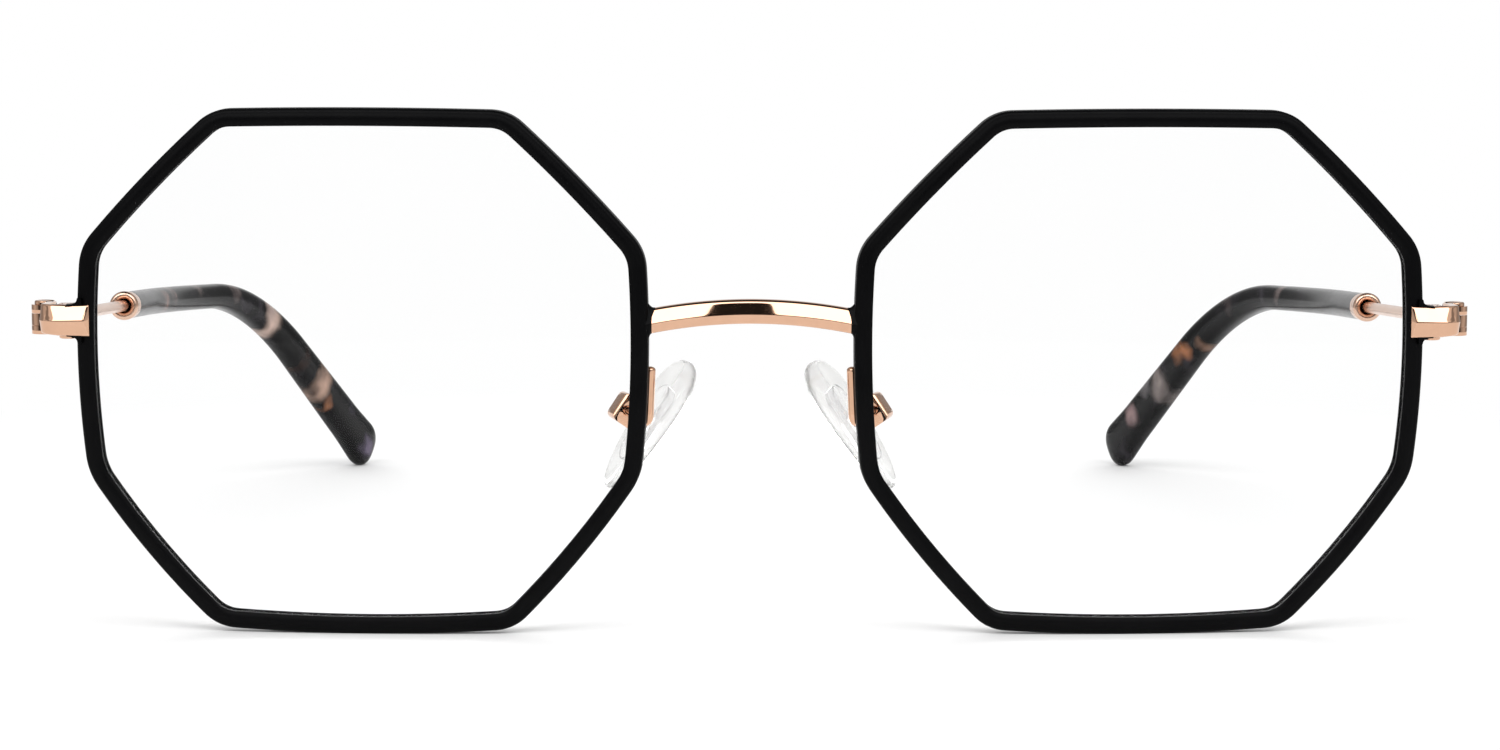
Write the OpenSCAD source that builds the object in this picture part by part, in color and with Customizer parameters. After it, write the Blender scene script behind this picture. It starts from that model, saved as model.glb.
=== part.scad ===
/* [Lenses] */
// Width of each lens across its upper side corners
lens_w = 52.4; // [48:0.2:56]
// Height of each lens between its top and bottom corners
lens_h = 48.2; // [44:0.2:52]
// Distance between the two lenses at their upper side corners
lens_gap = 22.9; // [20:0.1:26]
// Length of the top side
top_side = 27.6; // [24:0.2:31]
// Length of the bottom side
bottom_side = 28; // [24:0.2:31]
// Height of the upper side corners above the lens's middle
upper_corner_h = 11.4; // [9:0.2:13]
// Depth of the lower side corners below the lens's middle
lower_corner_h = 9.7; // [8:0.2:12]
// How far each lower side corner lies inside the upper one
lower_corner_in = 0.4; // [0:0.1:1.5]
// Outward bow of the top side
top_bow = 0.2; // [0:0.05:0.6]
// Outward bow of the two upper slanted sides
upper_bow = 0.3; // [0:0.05:0.6]
// Outward bow of the two upright sides
side_bow = 0.5; // [0:0.05:0.8]
// Outward bow of the two lower slanted sides
lower_bow = 0.45; // [0:0.05:0.8]
// Outward bow of the bottom side
bottom_bow = 0.4; // [0:0.05:0.8]
// Length along each side that a rounded corner takes up
corner_cut = 1.35; // [0.8:0.05:2.5]
// Thickness of the lens
lens_t = 1.6; // [1.4:0.1:1.8]
// Width of the bevel's foot on the lens edge
bevel_w = 0.9; // [0.7:0.05:1]
// Radius of the ball that the lenses are ground to
base_radius = 130; // [100:1:200]
// Angle by which each lens turns back towards the temple
wrap_angle = 3; // [0:0.5:5]
// Angle by which the top of the front leans forward
lean_angle = 2; // [0:0.5:4]

/* [Rims] */
// How far the rim stands out beyond the lens edge
rim_out = 1.15; // [0.9:0.05:1.5]
// How far the rim's lips reach over the lens edge
rim_lip = 0.55; // [0.45:0.05:0.7]
// Depth of the rim in front of the lens edge
rim_front = 1.08; // [0.95:0.01:1.3]
// Depth of the rim behind the lens edge
rim_back = 1; // [0.95:0.05:1.3]
// Width of the saw cut where the rim opens to take its lens
rim_saw = 0.2; // [0.1:0.05:0.4]

/* [Bridge] */
// Height of the bridge's ends above the lenses' middle
bridge_up = 5; // [3:0.1:8]
// Rise of the bridge between its ends and its middle
bridge_rise = 1; // [0.4:0.1:2]
// Height of the bridge bar
bridge_h = 2.35; // [1.8:0.05:3]
// Thickness of the bridge bar from front to back
bridge_t = 1.9; // [1.5:0.1:2.4]
// Depth of the bridge's front crease below the bar's middle
bridge_crease = 0.25; // [0:0.05:0.6]
// How far the bar's top edge lies behind the crease
bridge_top_set = 0.7; // [0.3:0.05:1]
// How far the bar's bottom edge lies behind the crease
bridge_foot_set = 0.5; // [0.3:0.05:0.9]

/* [End pieces] */
// Height of the end pieces' middle above the lenses' middle
end_up = 4.8; // [3:0.1:7]
// Height of the end piece
end_h = 3.1; // [3:0.05:3.6]
// How far the end piece's plate lies over the rim
end_over = 1.25; // [0.8:0.05:1.7]
// Thickness of the end piece's plate
end_plate_t = 1; // [0.8:0.05:1.3]
// Thickness of the end piece's leg
end_leg_t = 1.15; // [0.9:0.05:1.15]
// How far the leg's outer face lies inside the hinge axis
end_leg_in = 0.1; // [0.05:0.05:0.3]
// Outer radius of the end piece's bend
end_bend = 2.2; // [1.6:0.1:2.4]
// How far the plate's edges lie behind its front crease
end_facet = 0.45; // [0.2:0.05:0.7]

/* [Hinges] */
// Distance of the hinge axis outwards from the rim's edge
hinge_out = 3.9; // [3.4:0.1:4.5]
// Distance of the hinge axis behind the rim's edge
hinge_back = 3.8; // [3.6:0.1:5]
// How far the hinge's middle lies below the end piece's middle
hinge_down = 0.25; // [0:0.05:0.3]
// Radius of the hinge's knuckles
knuckle_r = 1.3; // [1.2:0.05:1.5]
// Height of the temple's middle knuckle
knuckle_mid_h = 1.15; // [0.8:0.05:1.3]
// Height of each of the end piece's two knuckles
knuckle_end_h = 0.8; // [0.6:0.05:0.9]
// Radius of the hinge screw
hinge_screw_r = 0.6; // [0.5:0.05:0.7]
// Radius of the hinge screw's head
hinge_head_r = 1; // [0.9:0.05:1.15]
// Height of the hinge screw's head
hinge_head_h = 0.45; // [0.3:0.05:0.7]

/* [Rim closings] */
// Width of the closing blocks, outwards from the rim
block_w = 2.2; // [2:0.05:2.2]
// Length of the closing blocks from front to back
block_l = 2.8; // [2.4:0.1:3]
// Height of each closing block
block_h = 1.4; // [1.2:0.05:1.5]
// Radius of the closing screw
block_screw_r = 0.6; // [0.5:0.05:0.7]
// Radius of the closing screw's head
block_head_r = 0.9; // [0.8:0.05:1]
// Height of the closing screw's head
block_head_h = 0.4; // [0.3:0.05:0.6]

/* [Temples] */
// Length of the temple from the hinge axis to the end of its tip
temple_l = 141; // [135:1:148]
// Distance from the hinge axis to the start of the inward curve
inward_at = 62; // [58:1:70]
// Radius of the inward curve
inward_radius = 126; // [110:1:160]
// Angle by which the end of the temple points inwards
inward_angle = 24; // [16:1:26]
// Distance from the hinge axis to the start of the ear bend
ear_at = 92; // [88:1:98]
// Radius of the ear bend
ear_radius = 39; // [30:1:44]
// Angle of the ear bend
ear_angle = 36; // [30:1:40]
// Radius of the temple wire
wire_r = 0.62; // [0.5:0.02:0.7]
// Length of the temple's hinge block behind its knuckle
butt_l = 4.6; // [4:0.1:6]
// Radius of the temple's hinge block
butt_r = 1.15; // [1:0.05:1.25]

/* [Tips] */
// Distance from the hinge axis to the ferrule's mouth
ferrule_at = 47.5; // [44:0.5:50]
// Length of the ferrule
ferrule_l = 3; // [2.5:0.1:4]
// Greatest radius of the ferrule
ferrule_r = 1.6; // [1.5:0.05:1.8]
// Radius of the ferrule's open mouth
mouth_r = 1.1; // [0.9:0.05:1.2]
// Depth of the ferrule's open mouth
mouth_depth = 1.2; // [0.8:0.1:1.6]
// Thickness of the tip
tip_t = 3; // [2.8:0.1:3]
// Height of the tip at the ferrule
tip_h = 3; // [2.8:0.1:3]
// Height that the tip gains behind the ear bend
tip_gain = 2.3; // [1:0.1:3]
// Further height of the tip's flared end
tip_flare = 1; // [0:0.1:1.5]
// Length of the tip's rounded end
tip_round = 3.2; // [2.4:0.1:4]
// Length of the tip behind the end of its core wire
core_short = 10; // [7:0.5:14]

/* [Nose pads] */
// Distance of each pad's middle from the middle of the front
pad_x = 10; // [9.6:0.05:10.8]
// Distance of the pad's middle behind the rim
pad_back = 8.8; // [8.4:0.1:9.4]
// Depth of the pad's middle below the lenses' middle
pad_down = 5.95; // [5.2:0.05:6.4]
// Length of the pad
pad_l = 14.8; // [13:0.1:15.4]
// Width of the pad
pad_w = 7.6; // [7:0.1:8.4]
// Share by which the pad is wider and thicker at its top than at its middle
pad_taper = 0.2; // [0:0.05:0.25]
// Height of the pad's domed face above its widest line
pad_dome = 1.3; // [1.1:0.1:1.6]
// Depth of the pad's back behind its widest line
pad_base = 1.1; // [1:0.1:1.4]
// Angle by which the pads' tops lean to the nose
pad_frontal = 33; // [28:0.5:38]
// Angle by which the pads' tops lean back
pad_vertical = 10; // [5:1:14]
// Angle by which the pads' back edges stand apart
pad_splay = 21; // [15:0.5:30]
// Length of the stiff plate inside the pad
core_l = 8.6; // [7:0.1:9.4]
// Width of the stiff plate inside the pad
core_w = 3.8; // [3:0.1:4.4]
// Thickness of the stiff plate inside the pad
core_t = 0.6; // [0.5:0.05:0.8]
// Thickness of the stiff plate's tab
tab_t = 1.1; // [0.9:0.05:1.3]
// Radius of the tab's eye
tab_r = 0.85; // [0.8:0.05:0.95]

/* [Pad arms] */
// Distance from the pad's widest line to its screw
pad_screw_at = 2.7; // [2.6:0.05:3]
// Radius of the pad screw
pad_screw_r = 0.45; // [0.4:0.05:0.5]
// Radius of the pad screw's head
pad_head_r = 0.8; // [0.7:0.05:0.9]
// Height of the pad screw's head
pad_head_h = 0.4; // [0.3:0.05:0.5]
// Thickness of the pad box's walls
box_wall = 0.5; // [0.4:0.05:0.6]
// Length of the pad box along the pad
box_l = 3; // [2.8:0.1:3.2]
// Thickness of the pad box's end walls
box_end = 0.35; // [0.3:0.05:0.4]
// Radius of the pad box's rounded ends
box_round = 0.8; // [0.5:0.05:0.9]
// Radius of the pad arm's wire
arm_r = 0.5; // [0.4:0.02:0.55]
// Height of the pad arm's upper end above the lenses' middle
arm_up = 0.2; // [-0.5:0.1:1.5]
// Length of the arm's foot along the rim
foot_l = 4.2; // [3.4:0.1:5]

/* [Fits] */
// Gap between the lens's bevel and the rim's groove
lens_fit = 0.07; // [0.05:0.01:0.1]
// Radial gap round the screws and the wire
pin_fit = 0.03; // [0.02:0.01:0.05]
// Gap between the knuckles' flat faces
knuckle_fit = 0.05; // [0.03:0.01:0.08]
// Gap round the turning knuckle and its block
swing_fit = 0.15; // [0.1:0.01:0.2]
// Gap round the pad's tab in its box
rock_fit = 0.12; // [0.1:0.01:0.15]
// Gap between the pad's back and the mouth of its box
pad_box_fit = 0.4; // [0.35:0.05:0.5]
// Depth to which brazed pieces sink into each other
braze = 0.12; // [0.08:0.01:0.2]

/* [Hidden] */
$fn = 48;

// Left and right are the wearer's, so the left side is at +X
LEFT = 1;
RIGHT = -1;

black = "#141414";
rose_gold = "#dcae92";
clear_glass = "#dfe8ea";
clear_silicone = "#e4e4e0";
mottled = "#4a4448";

// Turns of a point about the three axes
function turn_x(p, a) = [p.x, p.y * cos(a) - p.z * sin(a), p.y * sin(a) + p.z * cos(a)];
function turn_y(p, a) = [p.x * cos(a) + p.z * sin(a), p.y, p.z * cos(a) - p.x * sin(a)];
function turn_z(p, a) = [p.x * cos(a) - p.y * sin(a), p.x * sin(a) + p.y * cos(a), p.z];
function unit(v) = v / norm(v);
function mix(a, b, t) = a + (b - a) * t;
function clamp01(t) = max(0, min(1, t));
function smooth(t) = let (c = clamp01(t)) c * c * (3 - 2 * c);

// Corners of the lens, from the upper outer one over the top to the lower outer one
lens_corners = [
  [lens_w / 2, upper_corner_h],
  [top_side / 2, lens_h / 2],
  [-top_side / 2, lens_h / 2],
  [-lens_w / 2, upper_corner_h],
  [lower_corner_in - lens_w / 2, -lower_corner_h],
  [-bottom_side / 2, -lens_h / 2],
  [bottom_side / 2, -lens_h / 2],
  [lens_w / 2 - lower_corner_in, -lower_corner_h]];
side_bows = [upper_bow, top_bow, upper_bow, side_bow, lower_bow, bottom_bow, lower_bow, side_bow];
sides = len(lens_corners);
nose_side = 3;
outer_side = 7;
side_steps = 7;
outer_steps = 4;
corner_steps = 4;

// Point on a bowed side, with t from 0 at its first corner to 1 at its last
function side_point(side, t) =
  let (
    a = lens_corners[side],
    b = lens_corners[(side + 1) % sides],
    along = unit(b - a)
  )
  mix(a, b, t) + 4 * side_bows[side] * t * (1 - t) * [along.y, -along.x];
function side_length(side) = norm(lens_corners[(side + 1) % sides] - lens_corners[side]);
function cut_share(side) = corner_cut / side_length(side);

// Points of a side between two of its shares, and of the rounded corner behind it
function side_run(side, from, to, steps) =
  [for (i = [0:steps]) side_point(side, mix(from, to, i / steps))];
function corner_run(side) =
  let (
    next = (side + 1) % sides,
    a = side_point(side, 1 - cut_share(side)),
    b = side_point(next, cut_share(next)),
    c = lens_corners[next]
  )
  [for (i = [1:corner_steps - 1])
    let (t = i / corner_steps) mix(mix(a, c, t), mix(c, b, t), t)];

// Share of the outer side at which the rim is sawn through, behind the end piece
split_share = (end_up + lower_corner_h) / (upper_corner_h + lower_corner_h);
saw_share = rim_saw / 2 / side_length(outer_side);
lens_path = concat(
  side_run(outer_side, split_share + saw_share, 1 - cut_share(outer_side), outer_steps),
  corner_run(outer_side),
  [for (i = [0:outer_side - 1])
    each concat(side_run(i, cut_share(i), 1 - cut_share(i), side_steps), corner_run(i))],
  side_run(outer_side, cut_share(outer_side), split_share - saw_share, outer_steps));
path_n = len(lens_path);
path_normals = [for (i = [0:path_n - 1])
  let (d = unit(lens_path[min(i + 1, path_n - 1)] - lens_path[max(i - 1, 0)])) [d.y, -d.x]];

// Depth of the lens ball behind its front, and a lens point turned into the front's frame
function sag(p) = base_radius - sqrt(base_radius * base_radius - p.x * p.x - p.y * p.y);
function front_turn(q) = turn_x(turn_z(q, wrap_angle), lean_angle);
function rim_offset(p, n, r, w) = front_turn([p.x + r * n.x, sag(p) - w, p.y + r * n.y]);

// Section of the rim as distances out from the lens edge and forward of it
section_bulge = 2.6;
section_power = 2 / section_bulge;
groove_w = bevel_w + 2 * lens_fit;
section_angles = [-150:30:150];
function bulge(c) = sign(c) * pow(abs(c), section_power);
function rim_skin(a) = [
  (rim_out - rim_lip + (rim_out + rim_lip) * bulge(cos(a))) / 2,
  (rim_front - rim_back + (rim_front + rim_back) * bulge(sin(a))) / 2];
rim_section = concat(
  [[-rim_lip, -groove_w / 2]],
  [for (a = section_angles) rim_skin(a)],
  [[-rim_lip, groove_w / 2], [lens_fit, 0]]);
rim_rings = [for (i = [0:path_n - 1])
  [for (s = rim_section) rim_offset(lens_path[i], path_normals[i], s.x, s.y)]];

// Place of the lens's middle: its rim stands on the plane z = 0
lens_x = (lens_w + lens_gap) / 2;
lens_z = -min([for (r = rim_rings) each [for (p = r) p.z]]);
function place(q) = front_turn(q) + [lens_x, 0, lens_z];
function edge_place(p, out) = place([p.x + out, sag(p), p.y]);

// Where the end piece and the bridge meet the rim
outer_edge = edge_place(side_point(outer_side, split_share), rim_out);
nose_share = (upper_corner_h - bridge_up) / (upper_corner_h + lower_corner_h);
nose_edge = edge_place(side_point(nose_side, nose_share), -rim_out);

// Centre of the hinge on its axis
hinge = outer_edge + [hinge_out, hinge_back, -hinge_down];
barrel_h = knuckle_mid_h + 2 * (knuckle_end_h + knuckle_fit);

// Way of the temple from the hinge, for the left side, before it slopes down
temple_step = 0.5;
ear_l = ear_radius * ear_angle * PI / 180;
inward_l = inward_radius * inward_angle * PI / 180;
function yaw_at(s) = inward_angle * clamp01((s - inward_at) / inward_l);
function pitch_at(s) = ear_angle * clamp01((s - ear_at) / ear_l);
function along_at(s) =
  let (a = yaw_at(s), b = pitch_at(s)) [-sin(a) * cos(b), cos(a) * cos(b), -sin(b)];
function height_at(s) =
  let (a = yaw_at(s), b = pitch_at(s)) [-sin(a) * sin(b), cos(a) * sin(b), cos(b)];
function across_at(s) = let (a = yaw_at(s)) [cos(a), sin(a), 0];
temple_way = [for (s = 0, p = [0, 0, 0]; s <= temple_l + temple_step;
  p = p + temple_step * along_at(s + temple_step / 2), s = s + temple_step) p];
function way_point(s) =
  let (i = floor(s / temple_step)) mix(temple_way[i], temple_way[i + 1], s / temple_step - i);

// Rings of the tip: a rounded section that grows behind the ear bend and closes at its end
tip_at = ferrule_at + ferrule_l;
ear_end = ear_at + ear_l;
flare_l = 9;
tip_sides = 18;
tip_steps = 24;
round_steps = 5;
function tip_height(s) = tip_h
  + tip_gain * clamp01((s - ear_at) / (temple_l - flare_l - ear_at))
  + tip_flare * smooth((s - temple_l + flare_l) / flare_l);
function tip_ring(s, size) = [for (i = [0:tip_sides - 1])
  let (a = 360 * i / tip_sides, blend = smooth((s - tip_at) / (ear_at - tip_at)),
    power = mix(1, section_power, blend),
    x = sign(cos(a)) * pow(abs(cos(a)), power) * tip_t / 2 * size,
    z = sign(sin(a)) * pow(abs(sin(a)), power) * tip_height(s) / 2 * size)
  way_point(s) + x * across_at(s) + z * height_at(s)];
round_at = temple_l - tip_round;
tip_rings = concat(
  [for (i = [0:tip_steps]) tip_ring(mix(tip_at, round_at, i / tip_steps), 1)],
  [for (i = [1:round_steps])
    let (t = sin(90 * i / (round_steps + 1)))
    tip_ring(round_at + tip_round * t, pow(1 - pow(t, section_bulge), 1 / section_bulge))]);

// Slope of the temple that brings its tip down to the plane that the rims stand on
tip_points = [for (r = tip_rings) each r];
function sloped_z(p, a) = p.z * cos(a) - p.y * sin(a);
function lowest(a) =
  let (low = min([for (p = tip_points) sloped_z(p, a)]))
  [for (p = tip_points) if (sloped_z(p, a) == low) p][0];
function slope_for(p) = atan2(p.z, p.y) + asin(hinge.z / norm([p.y, p.z]));
temple_slope = slope_for(lowest(slope_for(lowest(0))));

// Middle of the whole object from front to back
front_y = -lens_t / 2;
back_y = hinge.y + max([for (p = tip_points) turn_x(p, -temple_slope).y]);
middle_y = (front_y + back_y) / 2;

// Pad's middle, and the turn from the pad's own frame: X away from the nose, Z up along the pad
pad_middle = [pad_x, nose_edge.y + pad_back, lens_z - pad_down];
function pad_turn(p) = turn_x(turn_y(turn_z(p, -pad_splay), -pad_frontal), -pad_vertical);
function pad_place(p) = pad_turn(p) + pad_middle;

// Solid through rings of equal length, closed by a flat face or by a point at each end
module loft(rings, first_point, last_point) {
  n = len(rings[0]);
  m = len(rings);
  first_n = is_undef(first_point) ? 0 : 1;
  points = concat(
    [for (r = rings) each r],
    is_undef(first_point) ? [] : [first_point],
    is_undef(last_point) ? [] : [last_point]);
  walls = [for (j = [0:m - 2], i = [0:n - 1])
    let (a = j * n + i, b = j * n + (i + 1) % n)
    each [[a, b, b + n], [a, b + n, a + n]]];
  first_cap = is_undef(first_point)
    ? [[for (i = [n - 1:-1:0]) i]]
    : [for (i = [0:n - 1]) [m * n, (i + 1) % n, i]];
  last_cap = is_undef(last_point)
    ? [[for (i = [0:n - 1]) (m - 1) * n + i]]
    : [for (i = [0:n - 1]) [m * n + first_n, (m - 1) * n + i, (m - 1) * n + (i + 1) % n]];
  polyhedron(points, concat(walls, first_cap, last_cap));
}

// The whole object's frame, and one side of it: modelled on the left, mirrored to the right
module on_side(side) {
  translate([0, -middle_y, 0])
    mirror([side == RIGHT ? 1 : 0, 0, 0])
      children();
}

module at_temple() {
  translate(hinge)
    rotate([-temple_slope, 0, 0])
      children();
}

module at_pad() {
  translate(pad_middle)
    rotate([-pad_vertical, 0, 0])
      rotate([0, -pad_frontal, 0])
        rotate([0, 0, -pad_splay])
          children();
}

module rim() {
  color(black)
    translate([lens_x, 0, lens_z])
      loft(rim_rings);
}

// Lens with its bevel in the rim's groove, as rings from the front's middle round to the back's
module lens() {
  land_in = rim_lip + lens_fit;
  inner_shares = [0.3, 0.65];
  function edge_ring(inset, w) = [for (i = [0:path_n - 1])
    place([lens_path[i].x - inset * path_normals[i].x, sag(lens_path[i]) - w,
      lens_path[i].y - inset * path_normals[i].y])];
  function face_ring(share, w) = [for (p = lens_path)
    place([p.x * share, sag(p * share) - w, p.y * share])];
  color(clear_glass, 0.3)
    loft(
      concat(
        [for (s = inner_shares) face_ring(s, lens_t / 2)],
        [edge_ring(land_in, lens_t / 2), edge_ring(land_in, bevel_w / 2), edge_ring(0, 0),
          edge_ring(land_in, -bevel_w / 2), edge_ring(land_in, -lens_t / 2)],
        [for (i = [len(inner_shares) - 1:-1:0]) face_ring(inner_shares[i], -lens_t / 2)]),
      place([0, -lens_t / 2, 0]),
      place([0, lens_t / 2, 0]));
}

// Arched bar with a creased front, brazed to both rims at its ends
module bridge() {
  half_span = nose_edge.x + braze;
  arch_r = (half_span * half_span + bridge_rise * bridge_rise) / (2 * bridge_rise);
  half_arch = asin(half_span / arch_r);
  arch_fn = 360;
  color(rose_gold)
    translate([0, nose_edge.y - middle_y, nose_edge.z + bridge_rise - arch_r])
      rotate([90, 0, 0])
        rotate([0, 0, 90 - half_arch])
          rotate_extrude(angle = 2 * half_arch, $fn = arch_fn)
            polygon([
              [arch_r + bridge_h / 2, -bridge_t / 2],
              [arch_r + bridge_h / 2, bridge_t / 2 - bridge_top_set],
              [arch_r - bridge_crease, bridge_t / 2],
              [arch_r - bridge_h / 2, bridge_t / 2 - bridge_foot_set],
              [arch_r - bridge_h / 2, -bridge_t / 2]]);
}

// Planes and middle height of the end piece, which the closing blocks share
end_z = outer_edge.z;
plate_back = outer_edge.y - rim_front + braze;
plate_front = plate_back - end_plate_t;
leg_out = hinge.x - end_leg_in;
leg_in = leg_out - end_leg_t;
block_x = outer_edge.x - braze;
block_y = plate_back;

// Plate over the rim, leg back to the hinge and the hinge's upper and lower knuckles
module end_piece() {
  arc_steps = 12;
  least_bend = 0.05;
  inner_bend = max(least_bend, leg_in - block_x - block_w);
  leg_lap = 0.4;
  leg_end = hinge.y - leg_lap * knuckle_r;
  color(rose_gold)
    difference() {
      union() {
        intersection() {
          translate([0, 0, end_z - end_h / 2])
            linear_extrude(end_h)
              polygon(concat(
                [[outer_edge.x - end_over, plate_back], [outer_edge.x - end_over, plate_front]],
                [for (i = [0:arc_steps])
                  let (a = 90 * i / arc_steps - 90)
                  [leg_out - end_bend, plate_front + end_bend] + end_bend * [cos(a), sin(a)]],
                [[leg_out, leg_end], [leg_in, leg_end]],
                [for (i = [arc_steps:-1:0])
                  let (a = 90 * i / arc_steps - 90)
                  [leg_in - inner_bend, plate_back + inner_bend] + inner_bend * [cos(a), sin(a)]]));
          translate([outer_edge.x - 2 * end_over, 0, 0])
            rotate([90, 0, 90])
              linear_extrude(2 * (hinge_out + end_over))
                polygon([
                  [plate_front, end_z],
                  [plate_front + end_facet, end_z + end_h / 2],
                  [hinge.y, end_z + end_h / 2],
                  [hinge.y, end_z - end_h / 2],
                  [plate_front + end_facet, end_z - end_h / 2]]);
        }
        translate([hinge.x, hinge.y, hinge.z - barrel_h / 2])
          cylinder(r = knuckle_r, h = barrel_h);
      }
      translate([hinge.x, hinge.y, hinge.z - knuckle_mid_h / 2 - knuckle_fit])
        cylinder(r = knuckle_r + swing_fit, h = knuckle_mid_h + 2 * knuckle_fit);
      translate([hinge.x, hinge.y, hinge.z - end_h])
        cylinder(r = hinge_screw_r + pin_fit, h = 2 * end_h);
      translate([hinge.x, hinge.y, hinge.z + barrel_h / 2])
        cylinder(r = hinge_head_r + pin_fit, h = end_h);
    }
}

// Driver slot across a screw head that lies below z = 0
module driver_slot(head_r, head_h) {
  slot_w = 0.3;
  translate([-head_r * 2, -slot_w / 2, -head_h / 2])
    cube([head_r * 4, slot_w, head_h]);
}

module hinge_screw() {
  color(rose_gold)
    translate([hinge.x, hinge.y, hinge.z + barrel_h / 2])
      difference() {
        union() {
          translate([0, 0, -barrel_h])
            cylinder(r = hinge_screw_r, h = barrel_h);
          cylinder(r = hinge_head_r, h = hinge_head_h);
        }
        translate([0, 0, hinge_head_h])
          driver_slot(hinge_head_r, hinge_head_h);
      }
}

// Middle of the closing blocks, in the corner between the plate, the leg and the rim
block_middle = [block_x + block_w / 2 + braze / 2, block_y + block_l / 2, end_z];

module closing_block(way) {
  color(rose_gold)
    translate([0, 0, end_z])
      difference() {
        translate([block_x, block_y, way > 0 ? rim_saw / 2 : -rim_saw / 2 - block_h])
          cube([block_w, block_l, block_h]);
        translate([block_middle.x, block_middle.y, -2 * block_h])
          cylinder(r = block_screw_r + pin_fit, h = 4 * block_h);
      }
}

module closing_screw() {
  head_z = rim_saw / 2 + block_h;
  color(rose_gold)
    translate(block_middle)
      difference() {
        union() {
          translate([0, 0, -head_z])
            cylinder(r = block_screw_r, h = 2 * head_z);
          translate([0, 0, -head_z - block_head_h])
            cylinder(r = block_head_r, h = block_head_h);
        }
        translate([0, 0, -head_z - block_head_h])
          driver_slot(block_head_r, block_head_h);
      }
}

// Middle knuckle of the hinge and the block behind it that takes the temple wire
butt_at = knuckle_r + swing_fit;
wire_stop = 1;
wire_at = butt_at + wire_stop;
module temple_hinge() {
  neck_w = 1.8;
  cone_l = 1.6;
  cone_lip = 0.15;
  color(rose_gold)
    difference() {
      union() {
        translate([hinge.x, hinge.y, hinge.z - knuckle_mid_h / 2])
          cylinder(r = knuckle_r, h = knuckle_mid_h);
        translate([hinge.x - neck_w / 2, hinge.y, hinge.z - knuckle_mid_h / 2])
          cube([neck_w, butt_at + butt_r, knuckle_mid_h]);
        at_temple()
          translate([0, butt_at, 0])
            rotate([-90, 0, 0])
              union() {
                cylinder(r = butt_r, h = butt_l - cone_l);
                translate([0, 0, butt_l - cone_l])
                  cylinder(r1 = butt_r, r2 = wire_r + cone_lip, h = cone_l);
              }
      }
      translate([hinge.x, hinge.y, hinge.z - end_h])
        cylinder(r = hinge_screw_r + pin_fit, h = 2 * end_h);
      at_temple()
        translate([0, wire_at, 0])
          rotate([-90, 0, 0])
            cylinder(r = wire_r + pin_fit, h = butt_l + wire_at);
    }
}

// Ring of points round the temple's way, for the core wire and its bore
core_sides = 10;
core_steps = 22;
core_end = temple_l - core_short;
function core_ring(s, r) = [for (i = [0:core_sides - 1])
  let (a = 360 * i / core_sides)
  way_point(s) + r * cos(a) * across_at(s) + r * sin(a) * height_at(s)];
function core_rings(from, to, r) =
  [for (i = [0:core_steps]) core_ring(mix(from, to, i / core_steps), r)];

// Wire from the hinge block through the ferrule, and its core inside the tip
module temple_wire() {
  color(rose_gold)
    at_temple()
      union() {
        translate([0, wire_at, 0])
          rotate([-90, 0, 0])
            cylinder(r = wire_r, h = tip_at + ferrule_l - wire_at);
        loft(core_rings(tip_at, core_end, wire_r * cos(180 / core_sides)));
      }
}

// Flared collar at the end of the tip, open in front round the wire
module ferrule() {
  lip = 0.25;
  color(rose_gold)
    at_temple()
      translate([0, ferrule_at, 0])
        rotate([-90, 0, 0])
          rotate_extrude()
            polygon([
              [wire_r + pin_fit, mouth_depth],
              [mouth_r, 0],
              [mouth_r + lip / 2, 0],
              [(mouth_r + ferrule_r) / 2 + lip / 2, lip / 2],
              [ferrule_r - lip / 4, lip * 2],
              [ferrule_r, mouth_depth],
              [ferrule_r - lip / 4, ferrule_l - lip * 2],
              [tip_t / 2, ferrule_l],
              [wire_r + pin_fit, ferrule_l]]);
}

// Tip of the temple, bored for the core wire
module temple_tip() {
  bore_r = wire_r + pin_fit * 2;
  bore_lead = 1;
  color(mottled)
    at_temple()
      difference() {
        loft(tip_rings, last_point = way_point(temple_l));
        translate([0, tip_at - bore_lead, 0])
          rotate([-90, 0, 0])
            cylinder(r = bore_r, h = bore_lead + ferrule_l + pin_fit);
        loft(core_rings(tip_at + ferrule_l / 2, core_end + pin_fit * 2, bore_r));
      }
}

// Silicone pad: rings from the domed face to the back, in the pad's own frame, each with its
// share of the half width and its share of the dome's or the base's depth
pad_sides = 28;
pad_bulge = 2.4;
pad_profile = [
  [0.45, -0.97], [0.75, -0.84], [0.93, -0.55], [1, 0], [0.97, 0.5], [0.87, 0.85], [0.6, 1]];
function pad_share(c) = sign(c) * pow(abs(c), 2 / pad_bulge);
function pad_ring(size, x) = [for (i = [0:pad_sides - 1])
  let (
    a = 360 * i / pad_sides,
    up = size * pad_share(cos(a)),
    swell = 1 + pad_taper * up
  )
  [x * swell, swell * size * pad_share(sin(a)) * pad_w / 2, up * pad_l / 2]];

module nose_pad() {
  color(clear_silicone, 0.6)
    at_pad()
      difference() {
        loft(
          [for (q = pad_profile) pad_ring(q.x, q.y * (q.y < 0 ? pad_dome : pad_base))],
          [-pad_dome, 0, 0],
          [pad_base, 0, 0]);
        core_shape(pin_fit);
      }
}

// Stiff plate with its tab, with a margin for the cavity round it
module core_shape(margin) {
  straight = core_l - core_w;
  plate_h = core_t + 2 * margin;
  for (end = [-1, 1])
    translate([-plate_h / 2, 0, end * straight / 2])
      rotate([0, 90, 0])
        cylinder(d = core_w + 2 * margin, h = plate_h);
  translate([-plate_h / 2, -core_w / 2 - margin, -straight / 2])
    cube([plate_h, core_w + 2 * margin, straight]);
  translate([0, -tab_t / 2 - margin, -tab_r - margin])
    cube([pad_screw_at, tab_t + 2 * margin, 2 * (tab_r + margin)]);
}

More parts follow.
